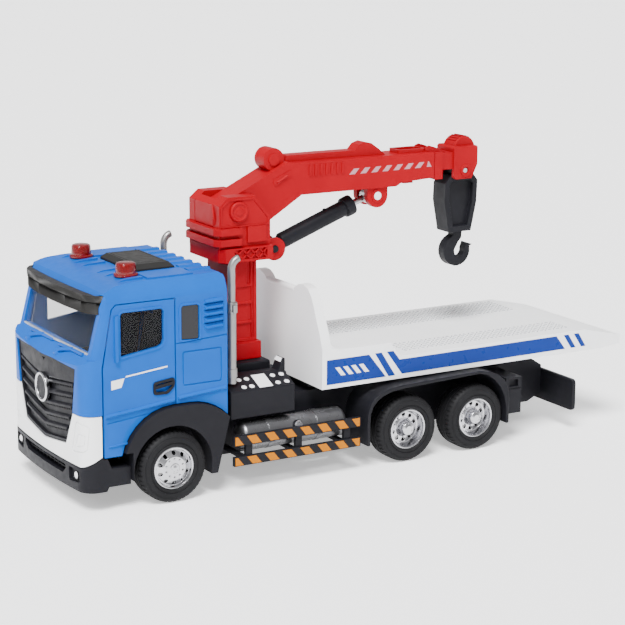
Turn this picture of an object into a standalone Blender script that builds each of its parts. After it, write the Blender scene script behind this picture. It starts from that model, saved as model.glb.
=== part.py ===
"""Toy tow truck: cab, sliding flatbed and folding loader crane, as separate named pieces.

Units in the constants are millimetres. The truck drives towards -Y, its left side is +X and
it stands on its tyres at Z = 0. The middle of its overall length is the scene's Y = 0, and the
Y values below are counted from a point that lies at Y = DATUM_Y in the scene.
"""
import math

import bmesh
import bpy

MM = 0.001
DATUM_Y = -4.85
GAP = 0.3
SEG_WHEEL = 40
SEG_ROUND = 24
SEG_FINE = 32

# running gear
AXLES = {"front": -92.9, "mid": 21.7, "rear": 58.0}
WHEEL_Z = 15.0
TYRE_R = 15.0
TYRE_IN = 29.4
TYRE_OUT = 42.0
RIM_R = 9.0
AXLE_R = 1.64
AXLE_HOLE_R = 1.74
AXLE_END = 37.9
TYRE_PROFILE = [(29.7, 9.2), (29.4, 12.4), (30.4, 14.4), (32.0, 15.0), (39.4, 15.0),
                (41.0, 14.4), (42.0, 12.4), (41.7, 9.2)]
RIM_FRONT_PROFILE = [(42.5, 0.0), (42.3, 1.8), (41.7, 3.4), (41.4, 5.4), (40.2, 7.7), (41.2, 8.4),
                     (41.4, 9.0), (30.4, 9.0), (30.4, 8.0), (37.9, 7.0), (38.1, 3.4),
                     (31.2, 3.4), (31.2, 1.74), (38.2, 1.74), (38.2, 0.0)]
RIM_REAR_PROFILE = [(41.4, 0.0), (41.3, 2.2), (40.5, 3.4), (37.2, 4.2), (36.6, 6.6), (37.6, 7.9),
                    (41.2, 8.4), (41.4, 9.0), (30.4, 9.0), (30.4, 8.0), (34.9, 6.8), (35.1, 3.4),
                    (31.2, 3.4), (31.2, 1.74), (38.2, 1.74), (38.2, 0.0)]

# chassis
CHASSIS_HALF = 20.0
REAR_HALF = 16.0
CHASSIS_PROFILE = [(-110.6, 12.2), (-104.0, 9.9), (106.0, 9.9), (113.4, 13.6), (113.4, 27.0),
                   (108.0, 30.4), (-110.6, 34.6)]
CROSS_BEAM = (-38.0, 38.0, 76.9, 85.5, 13.0, 30.0)
BAY = (-16.5, 16.5, -60.0, 2.0, 0.0, 27.0)
COVER = (-16.1, 16.1, -59.6, 1.6, 9.9, 11.9)
BOARD = (-14.0, 14.0, -56.0, -34.0, 23.2, 24.8)
SPEAKER_AT = (0.0, -18.0)
SPEAKER_R = 10.0
REAR_PLATE = (-40.0, 40.0, 113.8, 115.8, 9.8, 24.9)
HINGE_Y = 92.0
HINGE_Z = 34.3
HINGE_PIN_R = 1.5
HINGE_HOLE_R = 1.58
HINGE_EAR = [(88.6, 29.3), (95.4, 29.3), (95.4, 35.3), (93.6, 36.7), (90.4, 36.7), (88.6, 35.3)]

# side gear
FENDER_OUT = 43.0
FENDER_IN = 24.0
REAR_FENDER = [(-0.3, 10.5), (-0.4, 20.0), (-0.1, 25.2), (1.1, 29.0), (3.6, 31.9), (6.8, 33.7),
               (11.3, 35.1), (17.9, 35.8), (51.7, 36.6), (58.6, 36.8), (63.9, 36.1), (69.3, 33.8),
               (72.9, 30.6), (74.8, 26.6), (75.3, 22.1), (75.3, 10.5), (73.8, 10.5), (73.8, 18.0),
               (72.5, 23.6), (70.4, 27.8), (67.2, 31.6), (63.0, 34.5), (58.5, 35.6), (51.6, 35.4),
               (18.2, 34.2), (11.9, 33.5), (7.7, 32.1), (4.9, 30.5), (2.6, 28.0), (1.4, 24.9),
               (1.1, 20.0), (1.2, 10.5)]
BOX_OUTLINE = [(20.6, 29.7), (36.0, 29.7), (36.0, 41.5), (26.0, 45.7), (20.6, 45.7)]
BOX_Y = (-63.6, -32.8)
BOX_WEDGE = [(-36.4, 45.0), (-32.8, 45.0), (-32.8, 51.0), (-34.2, 51.0)]
TANK_X = 31.9
TANK_Z = 21.0
TANK_R = 6.4
TANK_Y = (-58.2, -7.6)
GUARD_Y = (-65.6, -3.8)
GUARD_X = (40.9, 42.6)
GUARD_TOP = (20.2, 24.4)
GUARD_LOW = (11.4, 15.4)
GUARD_POSTS = (-58.0, -34.0, -10.0)

# cab
CAB_HALF = 38.5
NOSE_Y = -133.0
NOSE_CROWN = 1.6
NOSE_R = 6.5
CAB_PROFILE = [(-134.0, 22.0), (-134.0, 57.0), (-132.8, 60.0), (-127.6, 64.4), (-127.0, 65.2),
               (-122.6, 82.0), (-122.6, 88.2), (-120.9, 90.2), (-115.5, 92.2), (-108.0, 93.0),
               (-68.2, 93.4), (-66.5, 92.4), (-66.5, 22.0)]
CAB_INNER = [(-131.0, 15.0), (-131.0, 56.2), (-129.8, 58.6), (-125.0, 62.8), (-124.4, 64.6),
             (-120.4, 82.0), (-120.4, 87.4), (-119.2, 88.8), (-115.0, 90.4), (-108.0, 91.2),
             (-68.2, 91.5), (-68.2, 15.0)]
CAB_SECTION = [(-38.5, 20.0), (38.5, 20.0), (38.5, 85.8), (37.8, 88.2), (36.2, 91.4), (33.4, 93.5),
               (-33.4, 93.5), (-36.2, 91.4), (-37.8, 88.2), (-38.5, 85.8)]
CAB_ROOM = [(-36.9, 5.0), (36.9, 5.0), (36.9, 85.4), (36.2, 87.6), (34.9, 90.2), (32.8, 91.6),
            (-32.8, 91.6), (-34.9, 90.2), (-36.2, 87.6), (-36.9, 85.4)]
WALL = 1.6
BEAM_ROOM = (-20.4, 20.4, -75.0, -60.0, 10.0, 43.2)
DOOR_OUTLINE = [(-122.4, 22.8), (-90.6, 22.8), (-90.6, 85.3), (-116.4, 85.3), (-118.1, 83.6),
                (-122.4, 60.0)]
DOOR_CUT = [(-123.0, 18.0), (-90.1, 18.0), (-90.1, 85.7), (-116.6, 85.7), (-118.6, 83.8),
            (-123.0, 60.1)]
DOOR_HINGE_X = 38.1
DOOR_HINGE_Y = -121.9
DOOR_WINDOW = [(-114.7, 63.8), (-98.0, 66.2), (-96.3, 67.0), (-95.5, 69.0), (-95.5, 81.0),
               (-96.5, 82.0), (-113.9, 82.0), (-114.7, 81.2)]
MIRROR_RIB = (38.0, 39.8, -117.4, -116.0, 62.0, 81.0)
SIDE_WINDOW = [(-87.7, 67.8), (-79.5, 67.4), (-79.5, 81.2), (-80.3, 82.0), (-87.0, 82.0),
               (-87.7, 81.2)]
PILLAR_RAKE = 0.262
PILLAR_CUT = [(34.2, -122.7), (35.2, -122.5), (36.9, -121.7), (38.0, -120.4), (38.6, -118.4),
              (42.0, -118.4), (42.0, -138.0), (34.2, -138.0)]
SCREEN_HALF = 33.7
SCREEN_Z = (65.5, 84.8)
SCREEN_THICK = 1.0
SCREEN_CROWN = 1.1
VISOR_OUTER = [(36.9, -117.6), (36.9, -120.2), (35.2, -123.4), (31.5, -125.9), (27.6, -126.9),
               (14.0, -128.1), (0.0, -128.5)]
VISOR_INNER = [(35.2, -117.6), (35.0, -120.9), (33.6, -123.2), (20.0, -124.0), (0.0, -124.5)]
VISOR_Z = (81.6, 89.1)
ARCH_R = 23.5
ARCH_Z = 17.3
ARCH_Y = (-91.5, -84.0)
WHEEL_CLEAR_R = 17.8
GRILLE_OUTLINE = [(0.0, 23.9), (21.9, 26.6), (27.9, 39.7), (31.0, 59.2), (12.0, 59.8), (0.0, 59.3)]
GRILLE_INSET = 0.9
BADGE_Z = 45.2
BADGE_R = 6.3
BADGE_Y = (-133.5, -132.4)
PANEL_Z = 40.4
PANEL_PROFILE = [(-123.4, 40.4), (-123.4, 23.4), (-131.0, 19.2), (-136.0, 19.2), (-136.0, 40.4)]
BUMPER_PROFILE = [(-136.0, 8.7), (-121.8, 8.7), (-120.8, 10.5), (-111.2, 10.5), (-111.2, 17.8),
                  (-119.6, 18.2), (-121.4, 22.6), (-123.4, 23.0), (-131.0, 18.8), (-136.0, 18.8)]
BUMPER_SLOT = [(-19.0, 13.4), (19.0, 13.4), (22.0, 16.0), (21.4, 17.6), (-21.4, 17.6),
               (-22.0, 16.0)]
FOG_X = 29.8
FOG_Z = 14.9
BEACON_X = 22.6
BEACON_Y = -104.5
BUTTON_LOW = (-16.6, 16.6, -98.4, -79.6, 88.6, 93.9)
BUTTON_TOP = (-14.4, 14.4, -96.4, -81.4, 95.8)
DASH = [(-128.2, 43.4), (-119.4, 43.4), (-119.4, 53.0), (-117.0, 58.0), (-118.0, 61.2),
        (-123.4, 60.6), (-128.2, 55.4)]
SEAT = [(-108.0, 43.4), (-87.6, 43.4), (-84.6, 72.0), (-88.8, 73.4), (-92.2, 52.4), (-107.0, 51.4)]
CAB_MOUNT = (-18.0, 18.0, -108.0, -76.0, 35.0, 43.0)
EXHAUST_X = 32.0
EXHAUST_Y = -61.0
PIPE_R = 1.55

# bed
BED_HALF = 37.0
BED_PROFILE = [(-20.0, 37.3), (131.3, 37.3), (143.2, 38.3), (143.2, 42.6), (121.6, 47.5),
               (-20.0, 47.5)]
RAIL_PROFILE = [(-17.1, 46.5), (20.3, 46.5), (20.0, 47.5), (14.5, 54.0), (-17.1, 54.2)]
RAIL_IN = 33.0
GUSSET = [(-17.0, 50.0), (-10.4, 50.0), (-10.4, 54.1), (-12.8, 54.5), (-14.6, 56.0), (-15.4, 57.6),
          (-17.0, 57.6)]
GUSSET_OUT = 35.9
HEADBOARD = [(0.0, 42.0), (37.0, 42.0), (37.0, 54.8), (34.6, 61.5), (31.4, 68.0), (29.6, 72.4),
             (27.4, 76.4), (24.6, 79.2), (21.0, 80.3), (16.8, 80.0), (13.8, 78.6), (12.0, 77.0),
             (0.0, 77.0)]
HEADBOARD_Y = (-20.0, -15.4)
POCKET_X = ((-35.0, -18.6), (-16.8, -0.9), (0.9, 16.8), (18.6, 35.0))
POCKET_Y0 = -12.0
POCKET_LEN = 24.0
POCKET_STEP = 26.0
POCKET_ROWS = 5
POCKET_TOP = 44.7
SUBFRAME = (-20.0, 20.0, -17.0, 96.0, 34.2, 37.0)
KNUCKLE_TOP = 36.3

# crane
SLEW_Y = -44.0
PEDESTAL_FOOT = (-20.0, 20.0, -64.6, -27.6, 34.1, 42.8)
PEDESTAL = (-18.0, 18.0, -60.4, -34.6, 42.0, 48.4)
COLUMN_BASE = (-13.6, 13.6, -51.2, -36.9, 48.7, 56.2)
COLUMN = (-12.0, 12.0, -49.6, -38.2, 55.0, 91.8)
SPIGOT_R = 5.0
SPIGOT_HOLE_R = 5.1
SPIGOT_Z = (88.0, 97.2)
TURRET_PLATE = [(-13.4, -57.4), (13.4, -57.4), (16.2, -55.2), (16.2, -32.4), (-16.2, -32.4),
                (-16.2, -55.2)]
TURRET_PLATE_Z = (92.3, 98.2)
TURRET_PROFILE = [(-57.2, 96.6), (-32.6, 96.6), (-32.6, 110.8), (-40.2, 120.0), (-53.0, 120.0),
                  (-57.2, 116.5)]
TURRET_HALF = 14.0
BAND_PLAN = [(-13.0, -59.4), (13.0, -59.4), (16.0, -57.2), (16.0, -47.3), (-16.0, -47.3),
             (-16.0, -57.2)]
BAND_Z = ((99.4, 102.3), (104.0, 106.9))
SIDE_PAD = (13.5, 15.0, -44.0, -35.0, 100.2, 107.0)
SLOT_HALF = 7.4
SLOT_PROFILE = [(-54.6, 101.0), (-30.0, 101.0), (-30.0, 130.0), (-54.6, 130.0)]
LIFT_Y = -47.9
LIFT_Z = 113.6
LIFT_PIN_R = 2.5
LIFT_HOLE_R = 2.6
LIFT_HEAD_R = 4.3
EAR_X = (3.6, 5.4)
EAR_R = 5.1
BASE_Y = -25.4
BASE_Z = 94.0
BASE_PIN_R = 1.6
BASE_HOLE_R = 1.7
BOOM_HALF = 7.0
BOOM_PROFILE = [(-53.4, 110.5), (-50.5, 106.2), (-44.5, 104.5), (-35.0, 103.6), (-27.9, 107.9),
                (-13.0, 117.1), (35.9, 117.1), (38.6, 118.6), (56.2, 119.6), (56.2, 131.2),
                (-17.0, 131.4), (-19.8, 131.9), (-53.4, 115.6)]
RAIL_HUMPS = [(-19.5, 131.0), (16.8, 131.0), (32.4, 131.0), (28.2, 134.4), (24.8, 136.8),
              (21.6, 137.6), (18.4, 136.6), (16.2, 134.2), (-18.5, 134.2)]
KNUCKLE_HUMP_AT = (-25.4, 133.0)
KNUCKLE_HUMP_R = 5.0
LUG_R = 5.3
ROD_Y = 26.6
ROD_Z = 113.4
ROD_PIN_R = 2.1
ROD_HOLE_R = 2.2
ROD_ROOM_R = 6.2
LUG_X = (3.2, 6.0)
TUBE = (-5.0, 5.0, -6.0, 58.0, 121.6, 129.2)
TUBE_BORE = (-5.2, 5.2, -8.0, 60.0, 121.4, 129.4)
COLLAR = (-7.0, 7.0, 56.5, 60.8, 118.6, 130.9)
NECK = (-6.0, 6.0, 60.0, 68.0, 122.6, 130.2)
HEAD_PROFILE = [(67.0, 118.7), (68.2, 117.8), (76.8, 117.8), (80.0, 124.2), (80.0, 132.2),
                (79.2, 132.8), (67.8, 132.8), (67.0, 132.0)]
HEAD_SLOT = (-5.3, 5.3, 60.9, 90.0, 110.0, 126.4)
PULLEY_R = 5.4
PULLEY_AT = (74.3, 131.6)
SWING_Y = 73.5
SWING_Z = 121.6
SWING_PIN_R = 1.2
SWING_HOLE_R = 1.28
BLOCK_PROFILE = [(67.4, 119.4), (64.0, 115.8), (63.7, 107.4), (66.4, 93.0), (78.6, 93.0),
                 (81.4, 106.4), (81.8, 116.4), (79.4, 119.4)]
BLOCK_FRAME = [(67.8, 116.6), (66.4, 115.2), (66.3, 107.6), (68.6, 95.6), (76.6, 95.6),
               (79.0, 106.6), (79.3, 115.2), (77.9, 116.6)]
BLOCK_HALF = 4.9
BLOCK_RECESS = 2.6
EYE_R = 3.6
EYE_HALF = 4.9
HOOK_Y = 73.0
HOOK_STEM_R = 1.6
HOOK_STEM_HOLE_R = 1.7
HOOK_HALF = 2.3
HOOK_OUTER = (72.8, 83.7, 7.3)
HOOK_INNER = (74.4, 83.4, 3.0)
BARREL_R = 3.6
BARREL_SPAN = (6.0, 44.6)
BARREL_COLLAR_R = 4.5
BARREL_COLLAR = (40.8, 44.6)
BARREL_BORE_R = 1.6
ROD_R = 1.5
ROD_START = 22.0
ROD_EYE_R = 4.5
ROD_EYE_HOLE_R = 2.9
ROD_EYE_HALF = 2.6

SURFACES = {
    "blue_body": ((0.011, 0.242, 0.651), 0.35, 0.0),
    "red_plastic": ((0.79, 0.007, 0.021), 0.35, 0.0),
    "black_plastic": ((0.026, 0.026, 0.034), 0.5, 0.0),
    "dark_grey_plastic": ((0.05, 0.048, 0.045), 0.45, 0.0),
    "white_plastic": ((0.83, 0.84, 0.86), 0.35, 0.0),
    "grey_plastic": ((0.2, 0.2, 0.22), 0.5, 0.0),
    "orange_stripe": ((0.9, 0.34, 0.01), 0.45, 0.0),
    "chrome_plating": ((0.78, 0.78, 0.8), 0.15, 1.0),
    "silver_plastic": ((0.33, 0.32, 0.31), 0.35, 0.6),
    "steel": ((0.6, 0.6, 0.6), 0.3, 1.0),
    "tyre_rubber": ((0.018, 0.018, 0.02), 0.75, 0.0),
    "clear_screen": ((0.75, 0.78, 0.8), 0.1, 0.0),
    "red_clear": ((0.7, 0.01, 0.01), 0.12, 0.0),
    "circuit_green": ((0.02, 0.2, 0.06), 0.45, 0.0),
}


def clear_scene():
    for old in list(bpy.data.objects):
        bpy.data.objects.remove(old, do_unlink=True)


def surface(slot):
    """The Principled material of one slot, made once."""
    found = bpy.data.materials.get(slot)
    if found:
        return found
    colour, roughness, metallic = SURFACES[slot]
    made = bpy.data.materials.new(slot)
    made.use_nodes = True
    shader = made.node_tree.nodes["Principled BSDF"]
    shader.inputs["Base Color"].default_value = (*colour, 1.0)
    shader.inputs["Roughness"].default_value = roughness
    shader.inputs["Metallic"].default_value = metallic
    made.diffuse_color = (*colour, 1.0)
    return made


# ---- shapes: each returns (vertices in mm, faces) of one closed skin ----

def prism(outline, axis, low, high):
    """A 2-D outline carried along X, Y or Z."""
    place = {"X": lambda p, t: (t, p[0], p[1]),
             "Y": lambda p, t: (p[0], t, p[1]),
             "Z": lambda p, t: (p[0], p[1], t)}[axis]
    n = len(outline)
    verts = [place(p, low) for p in outline] + [place(p, high) for p in outline]
    faces = [tuple(range(n)), tuple(range(n, 2 * n))]
    faces += [(i, (i + 1) % n, n + (i + 1) % n, n + i) for i in range(n)]
    return verts, faces


def block(x0, x1, y0, y1, z0, z1):
    return prism([(x0, y0), (x1, y0), (x1, y1), (x0, y1)], "Z", z0, z1)


def revolve(profile, axis, centre, segments):
    """A profile of (along, radius) turned about an axis through centre."""
    place = {"X": lambda a, u, v: (a, centre[0] + u, centre[1] + v),
             "Z": lambda a, u, v: (centre[0] + u, centre[1] + v, a)}[axis]
    verts = []
    rings = []
    for along, radius in profile:
        if radius == 0.0:
            rings.append([len(verts)])
            verts.append(place(along, 0.0, 0.0))
            continue
        rings.append(list(range(len(verts), len(verts) + segments)))
        for i in range(segments):
            turn = 2 * math.pi * i / segments
            verts.append(place(along, radius * math.cos(turn), radius * math.sin(turn)))
    closed = len(rings[0]) > 1
    faces = []
    for k in range(len(rings) if closed else len(rings) - 1):
        a, b = rings[k], rings[(k + 1) % len(rings)]
        for i in range(segments):
            j = (i + 1) % segments
            if len(a) == 1:
                faces.append((a[0], b[i], b[j]))
            elif len(b) == 1:
                faces.append((a[i], a[j], b[0]))
            else:
                faces.append((a[i], a[j], b[j], b[i]))
    return verts, faces


def rod(axis, centre, radius, low, high, segments=SEG_ROUND):
    return revolve([(low, 0.0), (low, radius), (high, radius), (high, 0.0)], axis, centre, segments)


def along_line(profile, x, start, end, segments):
    """A profile of (distance, radius) turned about the line start-end in the plane X = x."""
    reach = math.hypot(end[0] - start[0], end[1] - start[1])
    dy, dz = (end[0] - start[0]) / reach, (end[1] - start[1]) / reach
    verts, faces = revolve(profile, "X", (0.0, 0.0), segments)
    turned = [(x + u, start[0] + a * dy - v * dz, start[1] + a * dz + v * dy)
              for a, u, v in verts]
    return turned, faces


def tube(path, radii, x, segments=16):
    """A round tube along a path of (y, z) points in the plane X = x."""
    verts = []
    for k, (y, z) in enumerate(path):
        before = path[max(k - 1, 0)]
        after = path[min(k + 1, len(path) - 1)]
        length = math.hypot(after[0] - before[0], after[1] - before[1])
        ty, tz = (after[0] - before[0]) / length, (after[1] - before[1]) / length
        for i in range(segments):
            turn = 2 * math.pi * i / segments
            across, side = radii[k] * math.cos(turn), radii[k] * math.sin(turn)
            verts.append((x + across, y - side * tz, z + side * ty))
    rows = len(path)
    faces = [tuple(range(segments)), tuple(range((rows - 1) * segments, rows * segments))]
    for k in range(rows - 1):
        for i in range(segments):
            j = (i + 1) % segments
            a = k * segments
            faces.append((a + i, a + j, a + segments + j, a + segments + i))
    return verts, faces


def both(*shapes):
    """Several separate closed skins in one mesh."""
    verts, faces = [], []
    for more, sides in shapes:
        base = len(verts)
        verts += more
        faces += [tuple(base + i for i in side) for side in sides]
    return verts, faces


def flipped(shape):
    """The mirror image across X = 0."""
    return [(-x, y, z) for x, y, z in shape[0]], shape[1]


def sided(shape, side):
    return shape if side > 0 else flipped(shape)


def arc(cy, cz, radius, start, end, steps):
    return [(cy + radius * math.cos(math.radians(start + (end - start) * i / steps)),
             cz + radius * math.sin(math.radians(start + (end - start) * i / steps)))
            for i in range(steps + 1)]


def mirrored(half):
    """A closed outline from its x >= 0 half, which starts and ends on x = 0."""
    return half + [(-x, z) for x, z in reversed(half[1:-1])]


def grown(outline, by):
    """An outline moved outward by about the given distance."""
    n = len(outline)
    area = sum(outline[i][0] * outline[(i + 1) % n][1] - outline[(i + 1) % n][0] * outline[i][1]
               for i in range(n))
    sign = 1.0 if area > 0 else -1.0
    out = []
    for i in range(n):
        ax, ay = outline[i - 1]
        bx, by_ = outline[i]
        cx, cy = outline[(i + 1) % n]
        l1, l2 = math.hypot(bx - ax, by_ - ay), math.hypot(cx - bx, cy - by_)
        n1 = ((by_ - ay) / l1 * sign, -(bx - ax) / l1 * sign)
        n2 = ((cy - by_) / l2 * sign, -(cx - bx) / l2 * sign)
        spread = 1.0 + n1[0] * n2[0] + n1[1] * n2[1]
        out.append((bx + by * (n1[0] + n2[0]) / spread, by_ + by * (n1[1] + n2[1]) / spread))
    return out


def make(name, shape, slot, origin=(0.0, 0.0, 0.0), smooth=False, tool=False):
    """One object from a shape, its origin on the given point."""
    verts, faces = shape
    mesh = bpy.data.meshes.new(name)
    mesh.from_pydata([[(v[k] - origin[k]) * MM for k in range(3)] for v in verts], [], faces)
    work = bmesh.new()
    work.from_mesh(mesh)
    bmesh.ops.recalc_face_normals(work, faces=work.faces)
    work.to_mesh(mesh)
    work.free()
    thing = bpy.data.objects.new(name, mesh)
    thing.location = [origin[0] * MM, (origin[1] + DATUM_Y) * MM, origin[2] * MM]
    bpy.context.scene.collection.objects.link(thing)
    mesh.materials.append(surface(slot))
    if smooth:
        mesh.polygons.foreach_set("use_smooth", [True] * len(mesh.polygons))
        mesh.set_sharp_from_angle(angle=math.radians(35))
    if tool:
        thing.hide_render = True
        thing.display_type = "WIRE"
    return thing


def shape_with(target, how, shape):
    """Join, keep or cut a solid with a hidden tool."""
    label = {"UNION": "join", "INTERSECT": "keep", "DIFFERENCE": "cut"}[how]
    count = len(target.modifiers)
    tool = shape
    if isinstance(shape, tuple):
        slot = target.data.materials[0].name
        tool = make(f"{target.name}_{label}{count}", shape, slot, tool=True)
    step = target.modifiers.new(f"{label}{count}", "BOOLEAN")
    step.operation = how
    step.solver = "EXACT"
    step.object = tool
    return target


def join(target, *shapes):
    for shape in shapes:
        shape_with(target, "UNION", shape)


def keep(target, *shapes):
    for shape in shapes:
        shape_with(target, "INTERSECT", shape)


def cut(target, *shapes):
    for shape in shapes:
        shape_with(target, "DIFFERENCE", shape)


# ---- wheels ----

def wheelset(place, rim_profile):
    y = AXLES[place]
    centre = (0.0, y, WHEEL_Z)
    make(f"axle_{place}", rod("X", (y, WHEEL_Z), AXLE_R, -AXLE_END, AXLE_END), "steel", centre, True)
    for side, label in ((1, "left"), (-1, "right")):
        tyre = sided(revolve(TYRE_PROFILE, "X", (y, WHEEL_Z), SEG_WHEEL), side)
        rim = sided(revolve(rim_profile, "X", (y, WHEEL_Z), SEG_FINE), side)
        make(f"tyre_{place}_{label}", tyre, "tyre_rubber", centre, True)
        make(f"rim_{place}_{label}", rim, "chrome_plating", centre, True)


# ---- chassis and side gear ----

def chassis():
    frame = make("chassis_frame", prism(CHASSIS_PROFILE, "X", -CHASSIS_HALF, CHASSIS_HALF),
                 "black_plastic")
    join(frame, block(*CROSS_BEAM))
    for side in (1, -1):
        cut(frame, sided(block(REAR_HALF, 30.0, 86.0, 120.0, 0.0, 50.0), side))
        join(frame, sided(prism(HINGE_EAR, "X", 10.4, 12.4), side))
    holes = [rod("X", (y, WHEEL_Z), AXLE_HOLE_R, -30.0, 30.0) for y in AXLES.values()]
    cut(frame, block(*BAY), both(*holes))
    cut(frame, rod("X", (HINGE_Y, HINGE_Z), HINGE_HOLE_R, -14.0, 14.0))
    make("battery_cover", block(*COVER), "black_plastic")
    make("circuit_board", block(*BOARD), "circuit_green")
    cone = revolve([(13.0, 0.0), (13.0, SPEAKER_R), (15.0, SPEAKER_R), (16.0, 6.0), (19.0, 6.0),
                    (19.0, 0.0)], "Z", SPEAKER_AT, SEG_ROUND)
    make("speaker", cone, "grey_plastic", smooth=True)
    make("rear_underrun_plate", block(*REAR_PLATE), "black_plastic")


def side_gear(side, label):
    make(f"rear_fender_{label}", sided(prism(REAR_FENDER, "X", FENDER_IN, FENDER_OUT), side),
         "black_plastic")
    box = make(f"side_box_{label}", sided(prism(BOX_OUTLINE, "Y", *BOX_Y), side), "black_plastic")
    join(box, sided(prism(BOX_WEDGE, "X", 21.4, 27.4), side))
    ends = [(TANK_Y[0], 0.0), (TANK_Y[0], 4.8), (TANK_Y[0] + 1.6, TANK_R)]
    ends += [(TANK_Y[1] - 1.6, TANK_R), (TANK_Y[1], 4.8), (TANK_Y[1], 0.0)]
    verts, faces = revolve(ends, "Z", (0.0, 0.0), SEG_ROUND)
    lying = ([(TANK_X + u, a, TANK_Z + v) for u, v, a in verts], faces)
    tank = make(f"fuel_tank_{label}", sided(lying, side), "chrome_plating", smooth=True)
    join(tank, sided(rod("Z", (TANK_X + 3.0, -34.0), 2.2, 22.0, 28.2, 16), side))
    guard = make(f"side_guard_{label}",
                 sided(block(*GUARD_X, *GUARD_Y, *GUARD_TOP), side), "orange_stripe")
    join(guard, sided(block(*GUARD_X, *GUARD_Y, *GUARD_LOW), side))
    for y in GUARD_POSTS:
        join(guard, sided(block(39.6, 41.6, y - 1.5, y + 1.5, 12.0, 23.8), side))
        join(guard, sided(block(20.4, 40.4, y - 1.2, y + 1.2, 12.2, 13.8), side))


# ---- cab ----

def nose_y(x):
    return NOSE_Y + NOSE_CROWN * (x / (CAB_HALF - NOSE_R)) ** 2


def nose_plan(inset, rear):
    """Plan outline of the cab from its left rear round the nose to its right rear."""
    corner_x = CAB_HALF - NOSE_R
    corner_y = nose_y(corner_x) + NOSE_R
    left = [(CAB_HALF - inset, rear)]
    left += [(corner_x + u, corner_y + v) for u, v in arc(0, 0, NOSE_R - inset, 0, -90, 5)]
    left += [(corner_x * k / 4, nose_y(corner_x * k / 4) + inset) for k in (3, 2, 1)]
    return left + [(0.0, NOSE_Y + inset)] + [(-x, y) for x, y in reversed(left)]


def nose_band(inset, thickness, rear):
    """A curved plate that follows the nose in plan."""
    outer = nose_plan(inset, rear)
    return outer + list(reversed(nose_plan(inset + thickness, rear)))


def arch_outline(extra):
    """Outline of the front wheel arch as the cab and the doors are cut for it."""
    radius = ARCH_R + extra
    shape = [(ARCH_Y[0] - radius, 5.0)] + arc(ARCH_Y[0], ARCH_Z, radius, 180, 90, 8)
    shape += arc(ARCH_Y[1], ARCH_Z, radius, 90, 42, 5)
    return shape + [(-60.0, 33.9), (-60.0, 5.0)]


def cab_shell():
    grille = mirrored(GRILLE_OUTLINE)
    shell = make("cab_shell", prism(CAB_PROFILE, "X", -CAB_HALF, CAB_HALF), "blue_body")
    keep(shell, prism(nose_plan(0.0, -66.0), "Z", 15.0, 100.0), prism(CAB_SECTION, "Y", -140, -60))
    hollow = make("cab_shell_hollow", prism(CAB_INNER, "X", -CAB_HALF + WALL, CAB_HALF - WALL),
                  "blue_body", tool=True)
    keep(hollow, prism(nose_plan(WALL, -60.0), "Z", 10.0, 100.0),
         prism(CAB_ROOM, "Y", -150.0, -50.0))
    cut(shell, hollow)
    pillar, sides = prism(PILLAR_CUT, "Z", 63.6, 100.0)
    raked = ([(x, y + (z - 86.0) * PILLAR_RAKE, z) for x, y, z in pillar], sides)
    cut(shell, raked, flipped(raked))
    cut(shell, prism(DOOR_CUT, "X", -45.0, 45.0), prism(arch_outline(0.5), "X", -46.0, 46.0))
    cut(shell, block(-50.0, 50.0, -140.0, -122.9, 5.0, PANEL_Z + GAP), block(*BEAM_ROOM))
    cut(shell, block(-34.0, 34.0, -140.0, -112.0, SCREEN_Z[0] - GAP, SCREEN_Z[1] + GAP))
    cut(shell, prism(grown(grille, GAP), "Y", -150.0, -128.4))
    cut(shell, prism(grown(visor_plan(), GAP), "Z", VISOR_Z[0] - GAP, VISOR_Z[1] + GAP))
    low = BUTTON_LOW
    cut(shell, block(low[0] - GAP, low[1] + GAP, low[2] - GAP, low[3] + GAP, 86.0, 97.0))
    for side in (1, -1):
        cut(shell, sided(prism(SIDE_WINDOW, "X", CAB_HALF - 0.7, CAB_HALF + 3.0), side))


def visor_plan():
    inner = VISOR_INNER
    half = VISOR_OUTER + [(-x, y) for x, y in reversed(VISOR_OUTER[:-1])]
    return half + [(-x, y) for x, y in inner[:-1]] + list(reversed(inner))


def cab_front():
    grille_outline = mirrored(GRILLE_OUTLINE)
    make("sun_visor", prism(visor_plan(), "Z", *VISOR_Z), "dark_grey_plastic")
    grille = make("grille", prism(grille_outline, "Y", -145.0, -120.0), "black_plastic")
    keep(grille, prism(nose_band(GRILLE_INSET, 2.0, -120.0), "Z", 10.0, 70.0))
    verts, faces = revolve([(BADGE_Y[0], 0.0), (BADGE_Y[0], BADGE_R), (BADGE_Y[1] + 0.3, BADGE_R),
                            (BADGE_Y[1] + 0.3, 0.0)], "Z", (0.0, 0.0), SEG_FINE)
    make("badge", ([(u, a, BADGE_Z + v) for u, v, a in verts], faces), "silver_plastic",
         smooth=True)
    panel = make("front_panel", prism(PANEL_PROFILE, "X", -45.0, 45.0), "white_plastic")
    keep(panel, prism(nose_band(0.0, 2.2, -120.0), "Z", 10.0, 70.0))
    cut(panel, prism(grown(grille_outline, GAP), "Y", -150.0, -110.0))
    bumper = make("front_bumper", prism(BUMPER_PROFILE, "X", -45.0, 45.0), "black_plastic")
    keep(bumper, prism(nose_plan(-0.3, -105.0), "Z", 0.0, 60.0))
    lamps = []
    for x in (-FOG_X, FOG_X):
        verts, faces = rod("Z", (x, FOG_Z), 1.9, -140.0, nose_y(x) + 0.8, 16)
        lamps.append(([(u, a, v) for u, v, a in verts], faces))
    cut(bumper, prism(BUMPER_SLOT, "Y", -140.0, -129.4), both(*lamps))


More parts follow.
